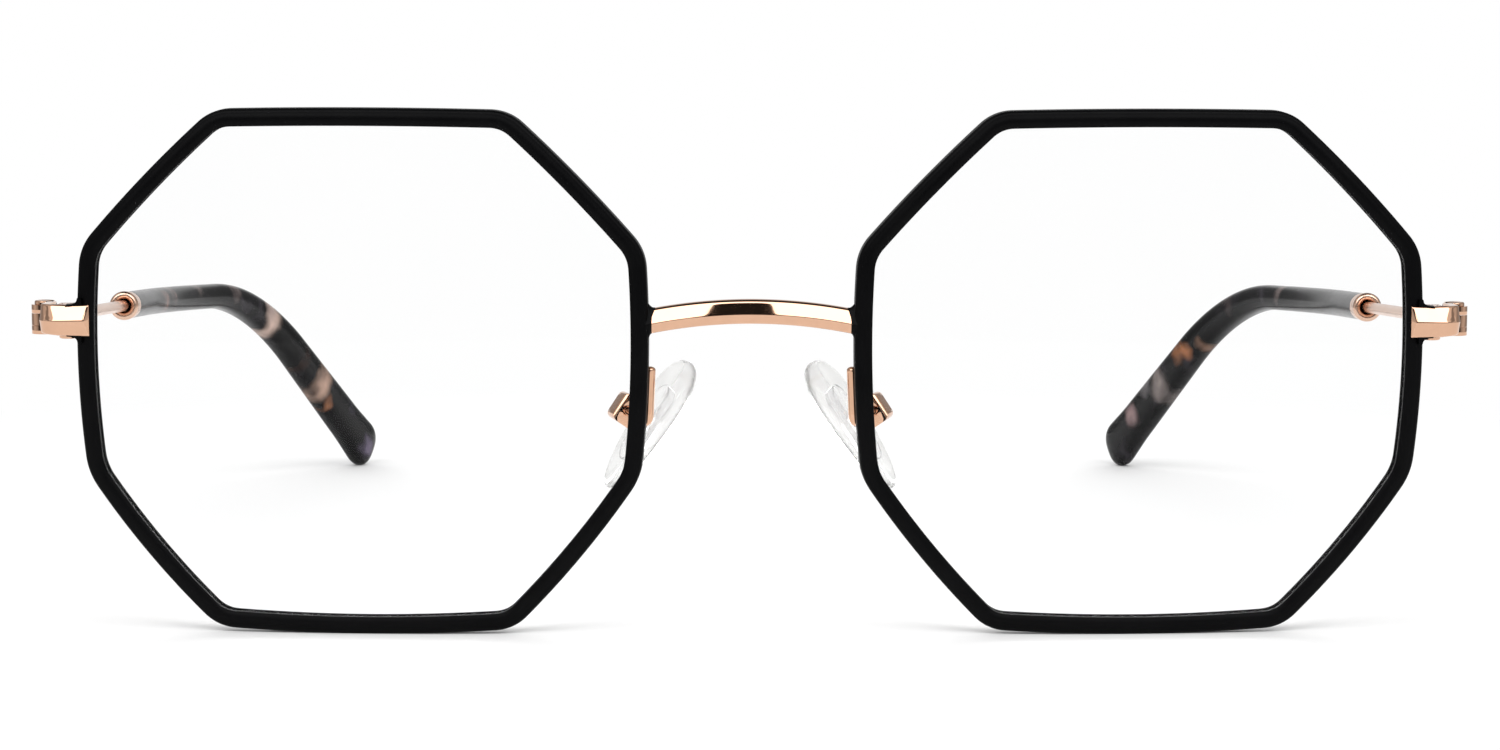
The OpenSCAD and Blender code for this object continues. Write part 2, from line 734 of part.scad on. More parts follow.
module pad_core() {
  color(clear_silicone, 0.8)
    at_pad()
      difference() {
        union() {
          core_shape(0);
          translate([pad_screw_at, tab_t / 2, 0])
            rotate([90, 0, 0])
              cylinder(r = tab_r, h = tab_t);
        }
        translate([pad_screw_at, tab_t, 0])
          rotate([90, 0, 0])
            cylinder(r = pad_screw_r + pin_fit, h = 2 * tab_t);
      }
}

// Cup that holds the pad's tab between its walls
box_in = tab_t + 2 * rock_fit;
box_out = box_in + 2 * box_wall;
box_mouth = pad_base + pad_box_fit;
box_floor = pad_screw_at + tab_r + rock_fit;
box_back = box_floor + box_wall;

// Outline of the box from its mouth to its back, where its corners are rounded
module box_outline(w, r) {
  translate([box_mouth, -w / 2])
    square([box_back - box_mouth - r, w]);
  translate([box_mouth, r - w / 2])
    square([box_back - box_mouth, w - 2 * r]);
  for (y = [-1, 1])
    translate([box_back - r, y * (w / 2 - r)])
      circle(r = r);
}

module pad_box() {
  edge_r = 0.5;
  color(rose_gold)
    at_pad()
      difference() {
        intersection() {
          translate([0, 0, -box_l / 2])
            linear_extrude(box_l)
              box_outline(box_out, edge_r);
          rotate([90, 0, 0])
            translate([0, 0, -box_out / 2])
              linear_extrude(box_out)
                box_outline(box_l, box_round);
        }
        translate([box_mouth - box_wall, -box_in / 2, box_end - box_l / 2])
          cube([box_floor - box_mouth + box_wall, box_in, box_l - 2 * box_end]);
        translate([pad_screw_at, box_out, 0])
          rotate([90, 0, 0])
            cylinder(r = pad_screw_r + pin_fit, h = 2 * box_out);
      }
}

module pad_screw() {
  color(rose_gold)
    at_pad()
      translate([pad_screw_at, box_out / 2, 0])
        rotate([-90, 0, 0])
          difference() {
            union() {
              translate([0, 0, box_wall / 2 - box_out])
                cylinder(r = pad_screw_r, h = box_out - box_wall / 2);
              cylinder(r = pad_head_r, h = pad_head_h);
            }
            translate([0, 0, pad_head_h])
              driver_slot(pad_head_r, pad_head_h);
          }
}

// Way of the pad arm: down the rim's back edge, back in a loop and on to the pad box
arm_sides = 10;
arm_steps = 10;
arm_seat = -40;
arm_offset = rim_skin(arm_seat) + (arm_r - braze) * [cos(arm_seat), sin(arm_seat)];
function seat_point(up) =
  let (p = side_point(nose_side, (upper_corner_h - up) / (upper_corner_h + lower_corner_h)))
  place([p.x - arm_offset.x, sag(p) - arm_offset.y, p.y]);
arm_top = seat_point(arm_up);
arm_foot = seat_point(arm_up - foot_l);
arm_end = pad_place([(box_mouth + box_back) / 2, braze - box_out / 2, 0]);
arm_pull = 3.4;
arm_dir = pad_turn([0, 1, 0]);
function bezier(a, b, c, d, t) = mix(
  mix(mix(a, b, t), mix(b, c, t), t), mix(mix(b, c, t), mix(c, d, t), t), t);
arm_down = unit(arm_foot - arm_top);
arm_way = concat(
  [arm_top, mix(arm_top, arm_foot, 0.5)],
  [for (i = [0:arm_steps]) bezier(arm_foot, arm_foot + arm_pull * arm_down / 2,
    arm_end - arm_pull * arm_dir, arm_end, i / arm_steps)]);
arm_n = len(arm_way);
arm_side = [1, 0, 0];
arm_rings = [for (i = [0:arm_n - 1])
  let (
    d = unit(arm_way[min(i + 1, arm_n - 1)] - arm_way[max(i - 1, 0)]),
    across = unit(arm_side - (arm_side * d) * d),
    other = cross(across, d)
  )
  [for (k = [0:arm_sides - 1])
    let (a = 360 * k / arm_sides) arm_way[i] + arm_r * (cos(a) * across + sin(a) * other)]];

module pad_arm() {
  color(rose_gold)
    loft(arm_rings);
}

on_side(LEFT) rim();  // rim_left
on_side(RIGHT) rim();  // rim_right
on_side(LEFT) lens();  // lens_left
on_side(RIGHT) lens();  // lens_right
bridge();
on_side(LEFT) end_piece();  // end_piece_left
on_side(RIGHT) end_piece();  // end_piece_right
on_side(LEFT) hinge_screw();  // hinge_screw_left
on_side(RIGHT) hinge_screw();  // hinge_screw_right
on_side(LEFT) closing_block(1);  // closing_block_upper_left
on_side(RIGHT) closing_block(1);  // closing_block_upper_right
on_side(LEFT) closing_block(-1);  // closing_block_lower_left
on_side(RIGHT) closing_block(-1);  // closing_block_lower_right
on_side(LEFT) closing_screw();  // closing_screw_left
on_side(RIGHT) closing_screw();  // closing_screw_right
on_side(LEFT) temple_hinge();  // temple_hinge_left
on_side(RIGHT) temple_hinge();  // temple_hinge_right
on_side(LEFT) temple_wire();  // temple_wire_left
on_side(RIGHT) temple_wire();  // temple_wire_right
on_side(LEFT) ferrule();  // ferrule_left
on_side(RIGHT) ferrule();  // ferrule_right
on_side(LEFT) temple_tip();  // temple_tip_left
on_side(RIGHT) temple_tip();  // temple_tip_right
on_side(LEFT) pad_arm();  // pad_arm_left
on_side(RIGHT) pad_arm();  // pad_arm_right
on_side(LEFT) pad_box();  // pad_box_left
on_side(RIGHT) pad_box();  // pad_box_right
on_side(LEFT) pad_screw();  // pad_screw_left
on_side(RIGHT) pad_screw();  // pad_screw_right
on_side(LEFT) nose_pad();  // nose_pad_left
on_side(RIGHT) nose_pad();  // nose_pad_right
on_side(LEFT) pad_core();  // pad_core_left
on_side(RIGHT) pad_core();  // pad_core_right
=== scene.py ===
import math
import bmesh
import bpy
import numpy as np
from mathutils import Matrix, Vector


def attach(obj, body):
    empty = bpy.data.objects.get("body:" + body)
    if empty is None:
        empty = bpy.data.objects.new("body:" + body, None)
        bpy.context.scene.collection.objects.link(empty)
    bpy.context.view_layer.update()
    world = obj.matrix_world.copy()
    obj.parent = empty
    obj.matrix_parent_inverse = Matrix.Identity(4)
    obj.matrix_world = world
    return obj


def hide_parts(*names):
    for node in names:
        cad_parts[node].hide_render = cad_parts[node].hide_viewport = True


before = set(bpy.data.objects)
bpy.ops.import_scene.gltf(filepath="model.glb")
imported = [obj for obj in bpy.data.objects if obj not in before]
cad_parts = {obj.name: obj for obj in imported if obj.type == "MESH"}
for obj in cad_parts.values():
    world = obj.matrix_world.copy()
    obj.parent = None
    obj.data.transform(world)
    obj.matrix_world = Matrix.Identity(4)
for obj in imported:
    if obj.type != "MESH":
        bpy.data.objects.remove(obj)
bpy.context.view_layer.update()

MM = 0.001
SIDES = {"left": 1, "right": -1}
LEVELS = {"upper": 1, "lower": -1}

# Sizes in millimetres and angles in degrees, as in the part's source

# Lenses
lens_w = 52.4
lens_h = 48.2
lens_gap = 22.9
top_side = 27.6
bottom_side = 28.0
upper_corner_h = 11.4
lower_corner_h = 9.7
lower_corner_in = 0.4
top_bow = 0.2
upper_bow = 0.3
side_bow = 0.5
lower_bow = 0.45
bottom_bow = 0.4
corner_cut = 1.35
lens_t = 1.6
bevel_w = 0.9
base_radius = 130.0
wrap_angle = 3.0
lean_angle = 2.0

# Rims
rim_out = 1.15
rim_lip = 0.55
rim_front = 1.08
rim_back = 1.0
rim_saw = 0.2

# Bridge
bridge_up = 5.0
bridge_rise = 1.0
bridge_h = 2.35
bridge_t = 1.9
bridge_crease = 0.25
bridge_top_set = 0.7
bridge_foot_set = 0.5

# End pieces
end_up = 4.8
end_h = 3.1
end_over = 1.25
end_plate_t = 1.0
end_leg_t = 1.15
end_leg_in = 0.1
end_bend = 2.2
end_facet = 0.45

# Hinges
hinge_out = 3.9
hinge_back = 3.8
hinge_down = 0.25
knuckle_r = 1.3
knuckle_mid_h = 1.15
knuckle_end_h = 0.8
hinge_screw_r = 0.6
hinge_head_r = 1.0
hinge_head_h = 0.45
leg_lap = 0.4

# Rim closings
block_w = 2.2
block_l = 2.8
block_h = 1.4
block_screw_r = 0.6
block_head_r = 0.9
block_head_h = 0.4

# Temples
temple_l = 141.0
inward_at = 62.0
inward_radius = 126.0
inward_angle = 24.0
ear_at = 92.0
ear_radius = 39.0
ear_angle = 36.0
wire_r = 0.62
butt_l = 4.6
butt_r = 1.15
neck_w = 1.8
wire_stop = 1.0

# Tips
ferrule_at = 47.5
ferrule_l = 3.0
mouth_depth = 1.2
tip_t = 3.0
tip_h = 3.0
tip_gain = 2.3
tip_flare = 1.0
tip_round = 3.2
core_short = 10.0
flare_l = 9.0

# Nose pads
pad_x = 10.0
pad_back = 8.8
pad_down = 5.95
pad_l = 14.8
pad_w = 7.6
pad_taper = 0.2
pad_bulge = 2.4
pad_dome = 1.3
pad_base = 1.1
pad_frontal = 33.0
pad_vertical = 10.0
pad_splay = 21.0
core_l = 8.6
core_w = 3.8
core_t = 0.6
tab_t = 1.1
tab_r = 0.85

# Pad arms and boxes
pad_screw_at = 2.7
pad_screw_r = 0.45
pad_head_r = 0.8
pad_head_h = 0.4
box_wall = 0.5
box_l = 3.0
box_end = 0.35
box_round = 0.8
box_edge_r = 0.5
arm_r = 0.5
arm_up = 0.2
foot_l = 4.2
arm_seat_angle = -40.0
arm_pull = 3.4

# Fits
lens_fit = 0.07
pin_fit = 0.03
knuckle_fit = 0.05
swing_fit = 0.15
rock_fit = 0.12
pad_box_fit = 0.4
braze = 0.12


# Angles in degrees, and points as arrays whose last axis holds x, y and z
X, Y, Z = range(3)


def cosd(a):
    return np.cos(np.radians(a))


def sind(a):
    return np.sin(np.radians(a))


def vec(*p):
    """Points from their coordinates, each a number or an array."""
    return np.stack(np.broadcast_arrays(*[np.asarray(v, float) for v in p]), axis=-1)


def rotate(p, axis, a):
    """Points turned about an axis."""
    first = (axis + 1) % 3
    second = (axis + 2) % 3
    q = np.array(p, float)
    q[..., first] = p[..., first] * cosd(a) - p[..., second] * sind(a)
    q[..., second] = p[..., first] * sind(a) + p[..., second] * cosd(a)
    return q


def unit(v):
    return v / np.linalg.norm(v, axis=-1, keepdims=True)


def smooth(t):
    c = np.clip(t, 0, 1)
    return c * c * (3 - 2 * c)


def power_of(c, power):
    return np.sign(c) * np.abs(c) ** power


# Outline of the lens, from the upper outer corner over the top to the lower outer one
corners = np.array([
    [lens_w / 2, upper_corner_h],
    [top_side / 2, lens_h / 2],
    [-top_side / 2, lens_h / 2],
    [-lens_w / 2, upper_corner_h],
    [lower_corner_in - lens_w / 2, -lower_corner_h],
    [-bottom_side / 2, -lens_h / 2],
    [bottom_side / 2, -lens_h / 2],
    [lens_w / 2 - lower_corner_in, -lower_corner_h]])
side_bows = [upper_bow, top_bow, upper_bow, side_bow, lower_bow, bottom_bow, lower_bow, side_bow]
SIDE_COUNT = 8
NOSE_SIDE = 3
OUTER_SIDE = 7


def side_length(side):
    return np.linalg.norm(corners[(side + 1) % SIDE_COUNT] - corners[side % SIDE_COUNT])


def side_point(side, t):
    """Point on a bowed side, with t from 0 at its first corner to 1 at its last."""
    a = corners[side % SIDE_COUNT]
    b = corners[(side + 1) % SIDE_COUNT]
    along = unit(b - a)
    out = np.array([along[1], -along[0]])
    t = np.asarray(t, float)[..., None]
    return a + (b - a) * t + 4 * side_bows[side % SIDE_COUNT] * t * (1 - t) * out


def cut_share(side):
    return corner_cut / side_length(side)


# The rim's two ends, where they are seen, nearly touch at the saw cut
seen_saw = 0.012
split_share = (end_up + lower_corner_h) / (upper_corner_h + lower_corner_h)
saw_share = seen_saw / 2 / side_length(OUTER_SIDE)


def side_run(side, start, end, steps):
    return side_point(side, np.linspace(start, end, steps + 1))


def corner_run(side, steps):
    """Points of the rounded corner between a side and the next."""
    a = side_point(side, 1 - cut_share(side))
    b = side_point(side + 1, cut_share(side + 1))
    c = corners[(side + 1) % SIDE_COUNT]
    t = (np.arange(1, steps) / steps)[:, None]
    return (a + (c - a) * t) * (1 - t) + (c + (b - c) * t) * t


def lens_path(side_steps, outer_steps, corner_steps):
    """Points along the lens edge, from above the saw cut over the top and round to below it."""
    first = side_run(OUTER_SIDE, split_share + saw_share, 1 - cut_share(OUTER_SIDE), outer_steps)
    last = side_run(OUTER_SIDE, cut_share(OUTER_SIDE), split_share - saw_share, outer_steps)
    runs = [first, corner_run(OUTER_SIDE, corner_steps)]
    for side in range(OUTER_SIDE):
        runs.append(side_run(side, cut_share(side), 1 - cut_share(side), side_steps))
        runs.append(corner_run(side, corner_steps))
    return np.concatenate(runs + [last])


def path_normals(path):
    d = np.empty_like(path)
    d[1:-1] = unit(path[2:] - path[1:-1]) + unit(path[1:-1] - path[:-2])
    d[0] = path[1] - path[0]
    d[-1] = path[-1] - path[-2]
    d = unit(d)
    return np.stack([d[:, 1], -d[:, 0]], axis=1)


# The front's curve, wrap and lean, and the section of the rim
section_bulge = 2.6
section_power = 2 / section_bulge
groove_w = bevel_w + 2 * lens_fit


def sag(p):
    return base_radius - np.sqrt(base_radius ** 2 - p[..., 0] ** 2 - p[..., 1] ** 2)


def front_turn(q):
    return rotate(rotate(q, Z, wrap_angle), X, lean_angle)


def rim_offset(p, n, r, w):
    return front_turn(vec(p[..., 0] + r * n[..., 0], sag(p) - w, p[..., 1] + r * n[..., 1]))


def rim_skin(a):
    out = power_of(cosd(a), section_power)
    ahead = power_of(sind(a), section_power)
    return np.stack([(rim_out - rim_lip + (rim_out + rim_lip) * out) / 2,
                     (rim_front - rim_back + (rim_front + rim_back) * ahead) / 2], axis=-1)


def lowest_of_rim():
    """Lowest point of the source's rim, whose section and path have few points."""
    path = lens_path(side_steps=7, outer_steps=4, corner_steps=4)
    skin = rim_skin(np.arange(-150, 151, 30))
    rings = rim_offset(path[:, None], path_normals(path)[:, None], skin[None, :, 0], skin[None, :, 1])
    return rings[..., 2].min()


lens_x = (lens_w + lens_gap) / 2
lens_z = -lowest_of_rim()


def place(q):
    return front_turn(q) + np.array([lens_x, 0, lens_z])


def edge_place(p, out):
    return place(vec(p[..., 0] + out, sag(p), p[..., 1]))


def nose_share(up):
    return (upper_corner_h - up) / (upper_corner_h + lower_corner_h)


outer_edge = edge_place(side_point(OUTER_SIDE, split_share), rim_out)
nose_edge = edge_place(side_point(NOSE_SIDE, nose_share(bridge_up)), -rim_out)
hinge = outer_edge + np.array([hinge_out, hinge_back, -hinge_down])
barrel_h = knuckle_mid_h + 2 * (knuckle_end_h + knuckle_fit)
end_z = outer_edge[2]

# Way of the temple from the hinge, stepped as in the source
temple_step = 0.5
ear_l = ear_radius * math.radians(ear_angle)
inward_l = inward_radius * math.radians(inward_angle)


def yaw_at(s):
    return inward_angle * np.clip((s - inward_at) / inward_l, 0, 1)


def pitch_at(s):
    return ear_angle * np.clip((s - ear_at) / ear_l, 0, 1)


def along_at(s):
    a, b = yaw_at(s), pitch_at(s)
    return vec(-sind(a) * cosd(b), cosd(a) * cosd(b), -sind(b))


def height_at(s):
    a, b = yaw_at(s), pitch_at(s)
    return vec(-sind(a) * sind(b), cosd(a) * sind(b), cosd(b))


def across_at(s):
    a = yaw_at(s)
    return vec(cosd(a), sind(a), 0 * a)


way_s = np.arange(0, temple_l + 2 * temple_step, temple_step)
way_moves = temple_step * along_at(way_s[:-1] + temple_step / 2)
way = np.concatenate([[[0, 0, 0]], np.cumsum(way_moves, axis=0)])


def way_point(s):
    return np.stack([np.interp(s, way_s, way[:, k]) for k in range(3)], axis=-1)


# Rings of the tip, whose section grows behind the ear bend and closes at its end
tip_at = ferrule_at + ferrule_l
round_at = temple_l - tip_round


def tip_height(s):
    gain = tip_gain * np.clip((s - ear_at) / (temple_l - flare_l - ear_at), 0, 1)
    return tip_h + gain + tip_flare * smooth((s - temple_l + flare_l) / flare_l)


def tip_ring(s, size, sides):
    a = 360 * np.arange(sides) / sides
    power = 1 + (section_power - 1) * smooth((s - tip_at) / (ear_at - tip_at))
    x = power_of(cosd(a), power) * tip_t / 2 * size
    z = power_of(sind(a), power) * tip_height(s) / 2 * size
    return way_point(s) + x[:, None] * across_at(s) + z[:, None] * height_at(s)


def tip_rings(steps, round_steps, sides):
    rings = [tip_ring(tip_at + (round_at - tip_at) * i / steps, 1, sides) for i in range(steps + 1)]
    for i in range(1, round_steps + 1):
        t = float(sind(90 * i / (round_steps + 1)))
        size = (1 - t ** section_bulge) ** (1 / section_bulge)
        rings.append(tip_ring(round_at + tip_round * t, size, sides))
    return np.array(rings)


tip_points = tip_rings(steps=24, round_steps=5, sides=18).reshape(-1, 3)


def lowest_tip_point(a):
    return tip_points[np.argmin(tip_points[:, 2] * cosd(a) - tip_points[:, 1] * sind(a))]


def slope_for(p):
    return math.degrees(math.atan2(p[2], p[1]) + math.asin(hinge[2] / math.hypot(p[1], p[2])))


temple_slope = slope_for(lowest_tip_point(slope_for(lowest_tip_point(0))))


def at_temple(p):
    return rotate(p, X, -temple_slope) + hinge


back_y = at_temple(tip_points)[:, 1].max()
middle_y = (back_y - lens_t / 2) / 2
pad_middle = np.array([pad_x, nose_edge[1] + pad_back, lens_z - pad_down])


def pad_turn(p):
    return rotate(rotate(rotate(p, Z, -pad_splay), Y, -pad_frontal), X, -pad_vertical)


def pad_place(p):
    return pad_turn(p) + pad_middle


def in_frame(p, sign):
    """A point of the left side, or its mirror image, in the frame's metres."""
    return tuple((np.array([sign * p[0], p[1] - middle_y, p[2]]) * MM).tolist())


# Mesh tools, in millimetres
def add_object(name, data):
    obj = bpy.data.objects.new(name, data)
    bpy.context.scene.collection.objects.link(obj)
    return obj


def new_object(name, skin):
    """Object from a skin, a pair of vertices and faces."""
    verts, faces = skin
    me = bpy.data.meshes.new(name)
    me.from_pydata(np.asarray(verts, float).tolist(), [], [[int(i) for i in f] for f in faces])
    me.update()
    return add_object(name, me)


def fix_normals(me):
    bm = bmesh.new()
    bm.from_mesh(me)
    bmesh.ops.recalc_face_normals(bm, faces=bm.faces)
    bm.to_mesh(me)
    bm.free()


def solid(name, skin):
    """Object from a skin whose faces are all turned outwards."""
    obj = new_object(name, skin)
    fix_normals(obj.data)
    return obj


def round_angles(steps):
    return 2 * np.pi * np.arange(steps) / steps


def loft(rings, closed=False):
    """Skin over rings of the same number of points, with capped ends unless it is closed."""
    rings = np.asarray(rings, float)
    m, n = rings.shape[:2]
    faces = []
    for j in range(m if closed else m - 1):
        k = (j + 1) % m
        faces += [(j * n + i, j * n + (i + 1) % n, k * n + (i + 1) % n, k * n + i) for i in range(n)]
    if not closed:
        faces.append(tuple(range(n - 1, -1, -1)))
        faces.append(tuple(range((m - 1) * n, m * n)))
    return rings.reshape(-1, 3), faces


def lathe(profile, turn, steps=48, closed=False):
    """Skin of a profile of (radius, height) pairs round Z, taken through turn()."""
    a = round_angles(steps)
    rings = [turn(vec(r * np.cos(a), r * np.sin(a), h)) for r, h in profile]
    return loft(rings, closed)


def rod(x, y, r, low, high, steps=64):
    """Upright round rod."""
    a = round_angles(steps)
    return loft([vec(x + r * np.cos(a), y + r * np.sin(a), z) for z in (low, high)])


def block(low, high, turn=None):
    """Box between two corners, taken through turn()."""
    (x0, y0, z0), (x1, y1, z1) = low, high
    rings = np.array([[[x0, y0, z], [x1, y0, z], [x1, y1, z], [x0, y1, z]] for z in (z0, z1)], float)
    return loft(rings if turn is None else turn(rings))


def outline(points, radii, bows, arc_steps=6, edge_steps=6):
    """Closed outline with bowed edges and rounded corners."""
    count = len(points)
    edges = []
    for i in range(count):
        a, b = points[i], points[(i + 1) % count]
        length = np.linalg.norm(b - a)
        out = np.array([b[1] - a[1], a[0] - b[0]]) / length
        v = np.linspace(radii[i] / length, 1 - radii[(i + 1) % count] / length, edge_steps + 1)[:, None]
        edges.append(a + (b - a) * v + out * bows[i] * 4 * v * (1 - v))
    t = (np.arange(1, arc_steps) / arc_steps)[:, None]
    result = []
    for i in range(count):
        a, b, c = edges[i][-1], edges[(i + 1) % count][0], points[(i + 1) % count]
        result.append(edges[i])
        result.append((1 - t) ** 2 * a + 2 * t * (1 - t) * c + t * t * b)
    return np.concatenate(result)


def tube(points, r, sides=28, end_bulge=0.7):
    """Round tube along points, with ends that bulge by a share of its radius."""
    points = np.asarray(points, float)
    d = unit(np.gradient(points, axis=0))
    side_hint = np.array([1.0, 0, 0])
    across = unit(side_hint - (d @ side_hint)[:, None] * d)
    other = np.cross(across, d)
    a = round_angles(sides)
    last = len(points) - 1

    def circle(i, radius, shift):
        spoke = np.cos(a)[:, None] * across[i] + np.sin(a)[:, None] * other[i]
        return points[i] + shift * d[i] + radius * spoke

    turns = np.linspace(0.15, 1.5, 8)
    rings = [circle(0, r * math.cos(t), -r * end_bulge * math.sin(t)) for t in turns[::-1]]
    rings += [circle(i, r, 0) for i in range(last + 1)]
    rings += [circle(last, r * math.cos(t), r * end_bulge * math.sin(t)) for t in turns]
    return loft(rings)


def bake(obj):
    """Applies every modifier on the object."""
    graph = bpy.context.evaluated_depsgraph_get()
    me = bpy.data.meshes.new_from_object(obj.evaluated_get(graph))
    obj.modifiers.clear()
    old = obj.data
    obj.data = me
    bpy.data.meshes.remove(old)
    return obj


def combine(obj, how, *others):
    """Joins, cuts or intersects the object with each of the other skins."""
    for skin in others:
        tool = solid("tool", skin)
        mod = obj.modifiers.new("combine", "BOOLEAN")
        mod.operation = how
        mod.solver = "EXACT"
        mod.object = tool
        bake(obj)
        bpy.data.objects.remove(tool)
    return obj


def soften(obj, width, segments=3, angle=32):
    """Rounds the edges that are sharper than the angle."""
    mod = obj.modifiers.new("soften", "BEVEL")
    mod.width = width
    mod.segments = segments
    mod.limit_method = "ANGLE"
    mod.angle_limit = math.radians(angle)
    return bake(obj)


def dress(obj, material, sharp=38):
    """Smooth shading but for the sharper edges, and the material."""
    obj.data.shade_smooth()
    obj.data.set_sharp_from_angle(angle=math.radians(sharp))
    obj.data.materials.clear()
    obj.data.materials.append(material)


def finish(kind, obj, material, body="front", sharp=38, stands_for=True, shadow=True):
    """Places a left-hand piece and its mirror image, in metres, and hides the part that each stands for."""
    fix_normals(obj.data)
    for side, sign in SIDES.items():
        me = obj.data.copy()
        co = np.empty((len(me.vertices), 3))
        me.vertices.foreach_get("co", co.ravel())
        co[:, 1] -= middle_y
        co[:, 0] *= sign
        me.vertices.foreach_set("co", (co * MM).ravel())
        if sign < 0:
            me.flip_normals()
        me.update()
        piece = add_object(f"{kind}_{side}_fine", me)
        dress(piece, material[side] if isinstance(material, dict) else material, sharp)
        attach(piece, body if body == "front" else f"{body}_{side}")
        if stands_for:
            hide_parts(f"{kind}_{side}")
        piece.visible_shadow = shadow
    bpy.data.objects.remove(obj)


# Materials
def srgb(r, g, b):
    """A colour from screen values of 0 to 255."""
    def linear(c):
        c = c / 255
        return ((c + 0.055) / 1.055) ** 2.4 if c > 0.04 else c / 12.92
    return (linear(r), linear(g), linear(b), 1.0)


class Nodes:
    """Short ways to add nodes to a shader's tree."""

    def __init__(self, tree):
        self.nodes = tree.nodes
        self.links = tree.links

    def add(self, kind, inputs=None, **settings):
        """A node with its settings, and with each input given a value or joined to an output."""
        n = self.nodes.new(kind)
        for name, setting in settings.items():
            setattr(n, name, setting)
        for key, value in (inputs or {}).items():
            if isinstance(value, bpy.types.NodeSocket):
                self.links.new(value, n.inputs[key])
            else:
                n.inputs[key].default_value = value
        return n

    def math(self, how, a, b=0.0):
        return self.add("ShaderNodeMath", {0: a, 1: b}, operation=how).outputs[0]

    def both(self, a, b):
        return self.math("MULTIPLY", a, b)

    def toward(self, level, target, share):
        """Level moved by a share of the way to the target."""
        return self.math("ADD", level, self.both(self.math("SUBTRACT", target, level), share))

    def spread(self, value, low, high, start=0.0, end=1.0):
        """The value's range from start to end, drawn out smoothly from low to high."""
        inputs = {"Value": value, "From Min": start, "From Max": end, "To Min": low, "To Max": high}
        return self.add("ShaderNodeMapRange", inputs, interpolation_type="SMOOTHSTEP").outputs["Result"]

    def step(self, value, start, end):
        """0 before start, 1 after end and smooth between; start may be the greater."""
        if start < end:
            return self.spread(value, 0.0, 1.0, start, end)
        return self.spread(value, 1.0, 0.0, end, start)

    def band(self, value, rise, fall):
        """1 between a rise and a fall, each a pair of borders, and 0 outside them."""
        return self.both(self.step(value, *rise), self.step(value, *fall))

    def rays(self, first, *others):
        """1 for rays of these kinds, 0 for the rest."""
        path = self.add("ShaderNodeLightPath").outputs
        found = path[f"Is {first} Ray"]
        for kind in others:
            found = self.math("MAXIMUM", found, path[f"Is {kind} Ray"])
        return found


class Paint(Nodes):
    """A new material, and short ways to drive its Principled shader."""

    def __init__(self, name, **values):
        self.mat = bpy.data.materials.new(name)
        self.mat.use_nodes = True
        super().__init__(self.mat.node_tree)
        self.shader = self.nodes["Principled BSDF"]
        for key, value in values.items():
            self.shader.inputs[key.replace("_", " ")].default_value = value

    def drive(self, socket, output):
        self.links.new(output, self.shader.inputs[socket])

    def position(self, stretch=(1, 1, 1)):
        where = self.add("ShaderNodeTexCoord").outputs["Object"]
        return self.add("ShaderNodeMapping", {"Vector": where, "Scale": stretch}).outputs["Vector"]

    def noise(self, scale, detail=2.0, rough=0.5, vector=None, seed=0.0, give="Fac"):
        where = self.position() if vector is None else vector
        inputs = {"Vector": where, "W": seed, "Scale": scale, "Detail": detail, "Roughness": rough}
        return self.add("ShaderNodeTexNoise", inputs, noise_dimensions="4D").outputs[give]

    def ramp(self, value, stops):
        n = self.add("ShaderNodeValToRGB", {"Fac": value})
        n.color_ramp.interpolation = "EASE"
        while len(n.color_ramp.elements) < len(stops):
            n.color_ramp.elements.new(0.5)
        for element, (at, colour) in zip(n.color_ramp.elements, stops):
            element.position = at
            element.color = colour
        return n.outputs["Color"]

    def two_tone(self, value, low, high):
        """Colour that drifts between two tones."""
        self.drive("Base Color", self.ramp(value, [(0.3, low), (0.7, high)]))

    def mix(self, factor, colour, tone):
        """Colour that gives way to a plain tone."""
        n = self.add("ShaderNodeMix", {"Factor": factor}, data_type="RGBA")
        first, second = [s for s in n.inputs if s.type == "RGBA"]
        self.links.new(colour, first)
        second.default_value = tone
        return [s for s in n.outputs if s.type == "RGBA"][0]

    def shifted(self, vector, scale, amount):
        """A position pushed about by soft noise, so that what it places gets ragged edges."""
        push = self.noise(scale, vector=vector, give="Color")
        inputs = {0: push, 1: (amount, amount, amount), 2: vector}
        return self.add("ShaderNodeVectorMath", inputs, operation="MULTIPLY_ADD").outputs["Vector"]

    def distance(self, vector, point):
        between = self.add("ShaderNodeVectorMath", {0: vector, 1: point}, operation="DISTANCE")
        return between.outputs["Value"]

    def bump(self, height, depth, strength):
        n = self.add("ShaderNodeBump", {"Height": height, "Distance": depth, "Strength": strength})
        self.drive("Normal", n.outputs["Normal"])


def make_black():
    """Satin black lacquer with a very fine orange-peel."""
    p = Paint("satin_black_lacquer", Specular_IOR_Level=0.08)
    speck = p.noise(9000, 3, 0.6)
    p.two_tone(p.noise(260, seed=3), srgb(2, 2, 3), srgb(5, 5, 6))
    p.drive("Roughness", p.spread(speck, 0.36, 0.48))
    p.bump(speck, depth=0.000004, strength=0.1)
    return p.mat


def make_gold(name, tone, rough, seed):
    """Polished rose gold plating with faint clouds and hairlines."""
    p = Paint(name, Metallic=1.0)
    cloud = p.noise(420, 3, 0.6, seed=seed)
    hairs = p.noise(2600, vector=p.position(stretch=(0.15, 1, 1)), seed=seed + 1)
    darker = tuple(c * 0.95 for c in tone[:3]) + (1.0,)
    p.two_tone(cloud, darker, tone)
    p.drive("Roughness", p.spread(cloud, rough * 0.75, rough * 1.3))
    p.bump(hairs, depth=0.000002, strength=0.1)
    return p.mat


def make_lens():
    """Clear demo lens: light goes straight through it and a thin coat mirrors a little."""
    p = Paint("clear_lens", Roughness=0.0, IOR=1.001, Transmission_Weight=1.0, Coat_Weight=0.6,
              Coat_Roughness=0.0, Alpha=0.15)
    p.two_tone(p.noise(60), srgb(250, 252, 252), srgb(254, 255, 255))
    return p.mat


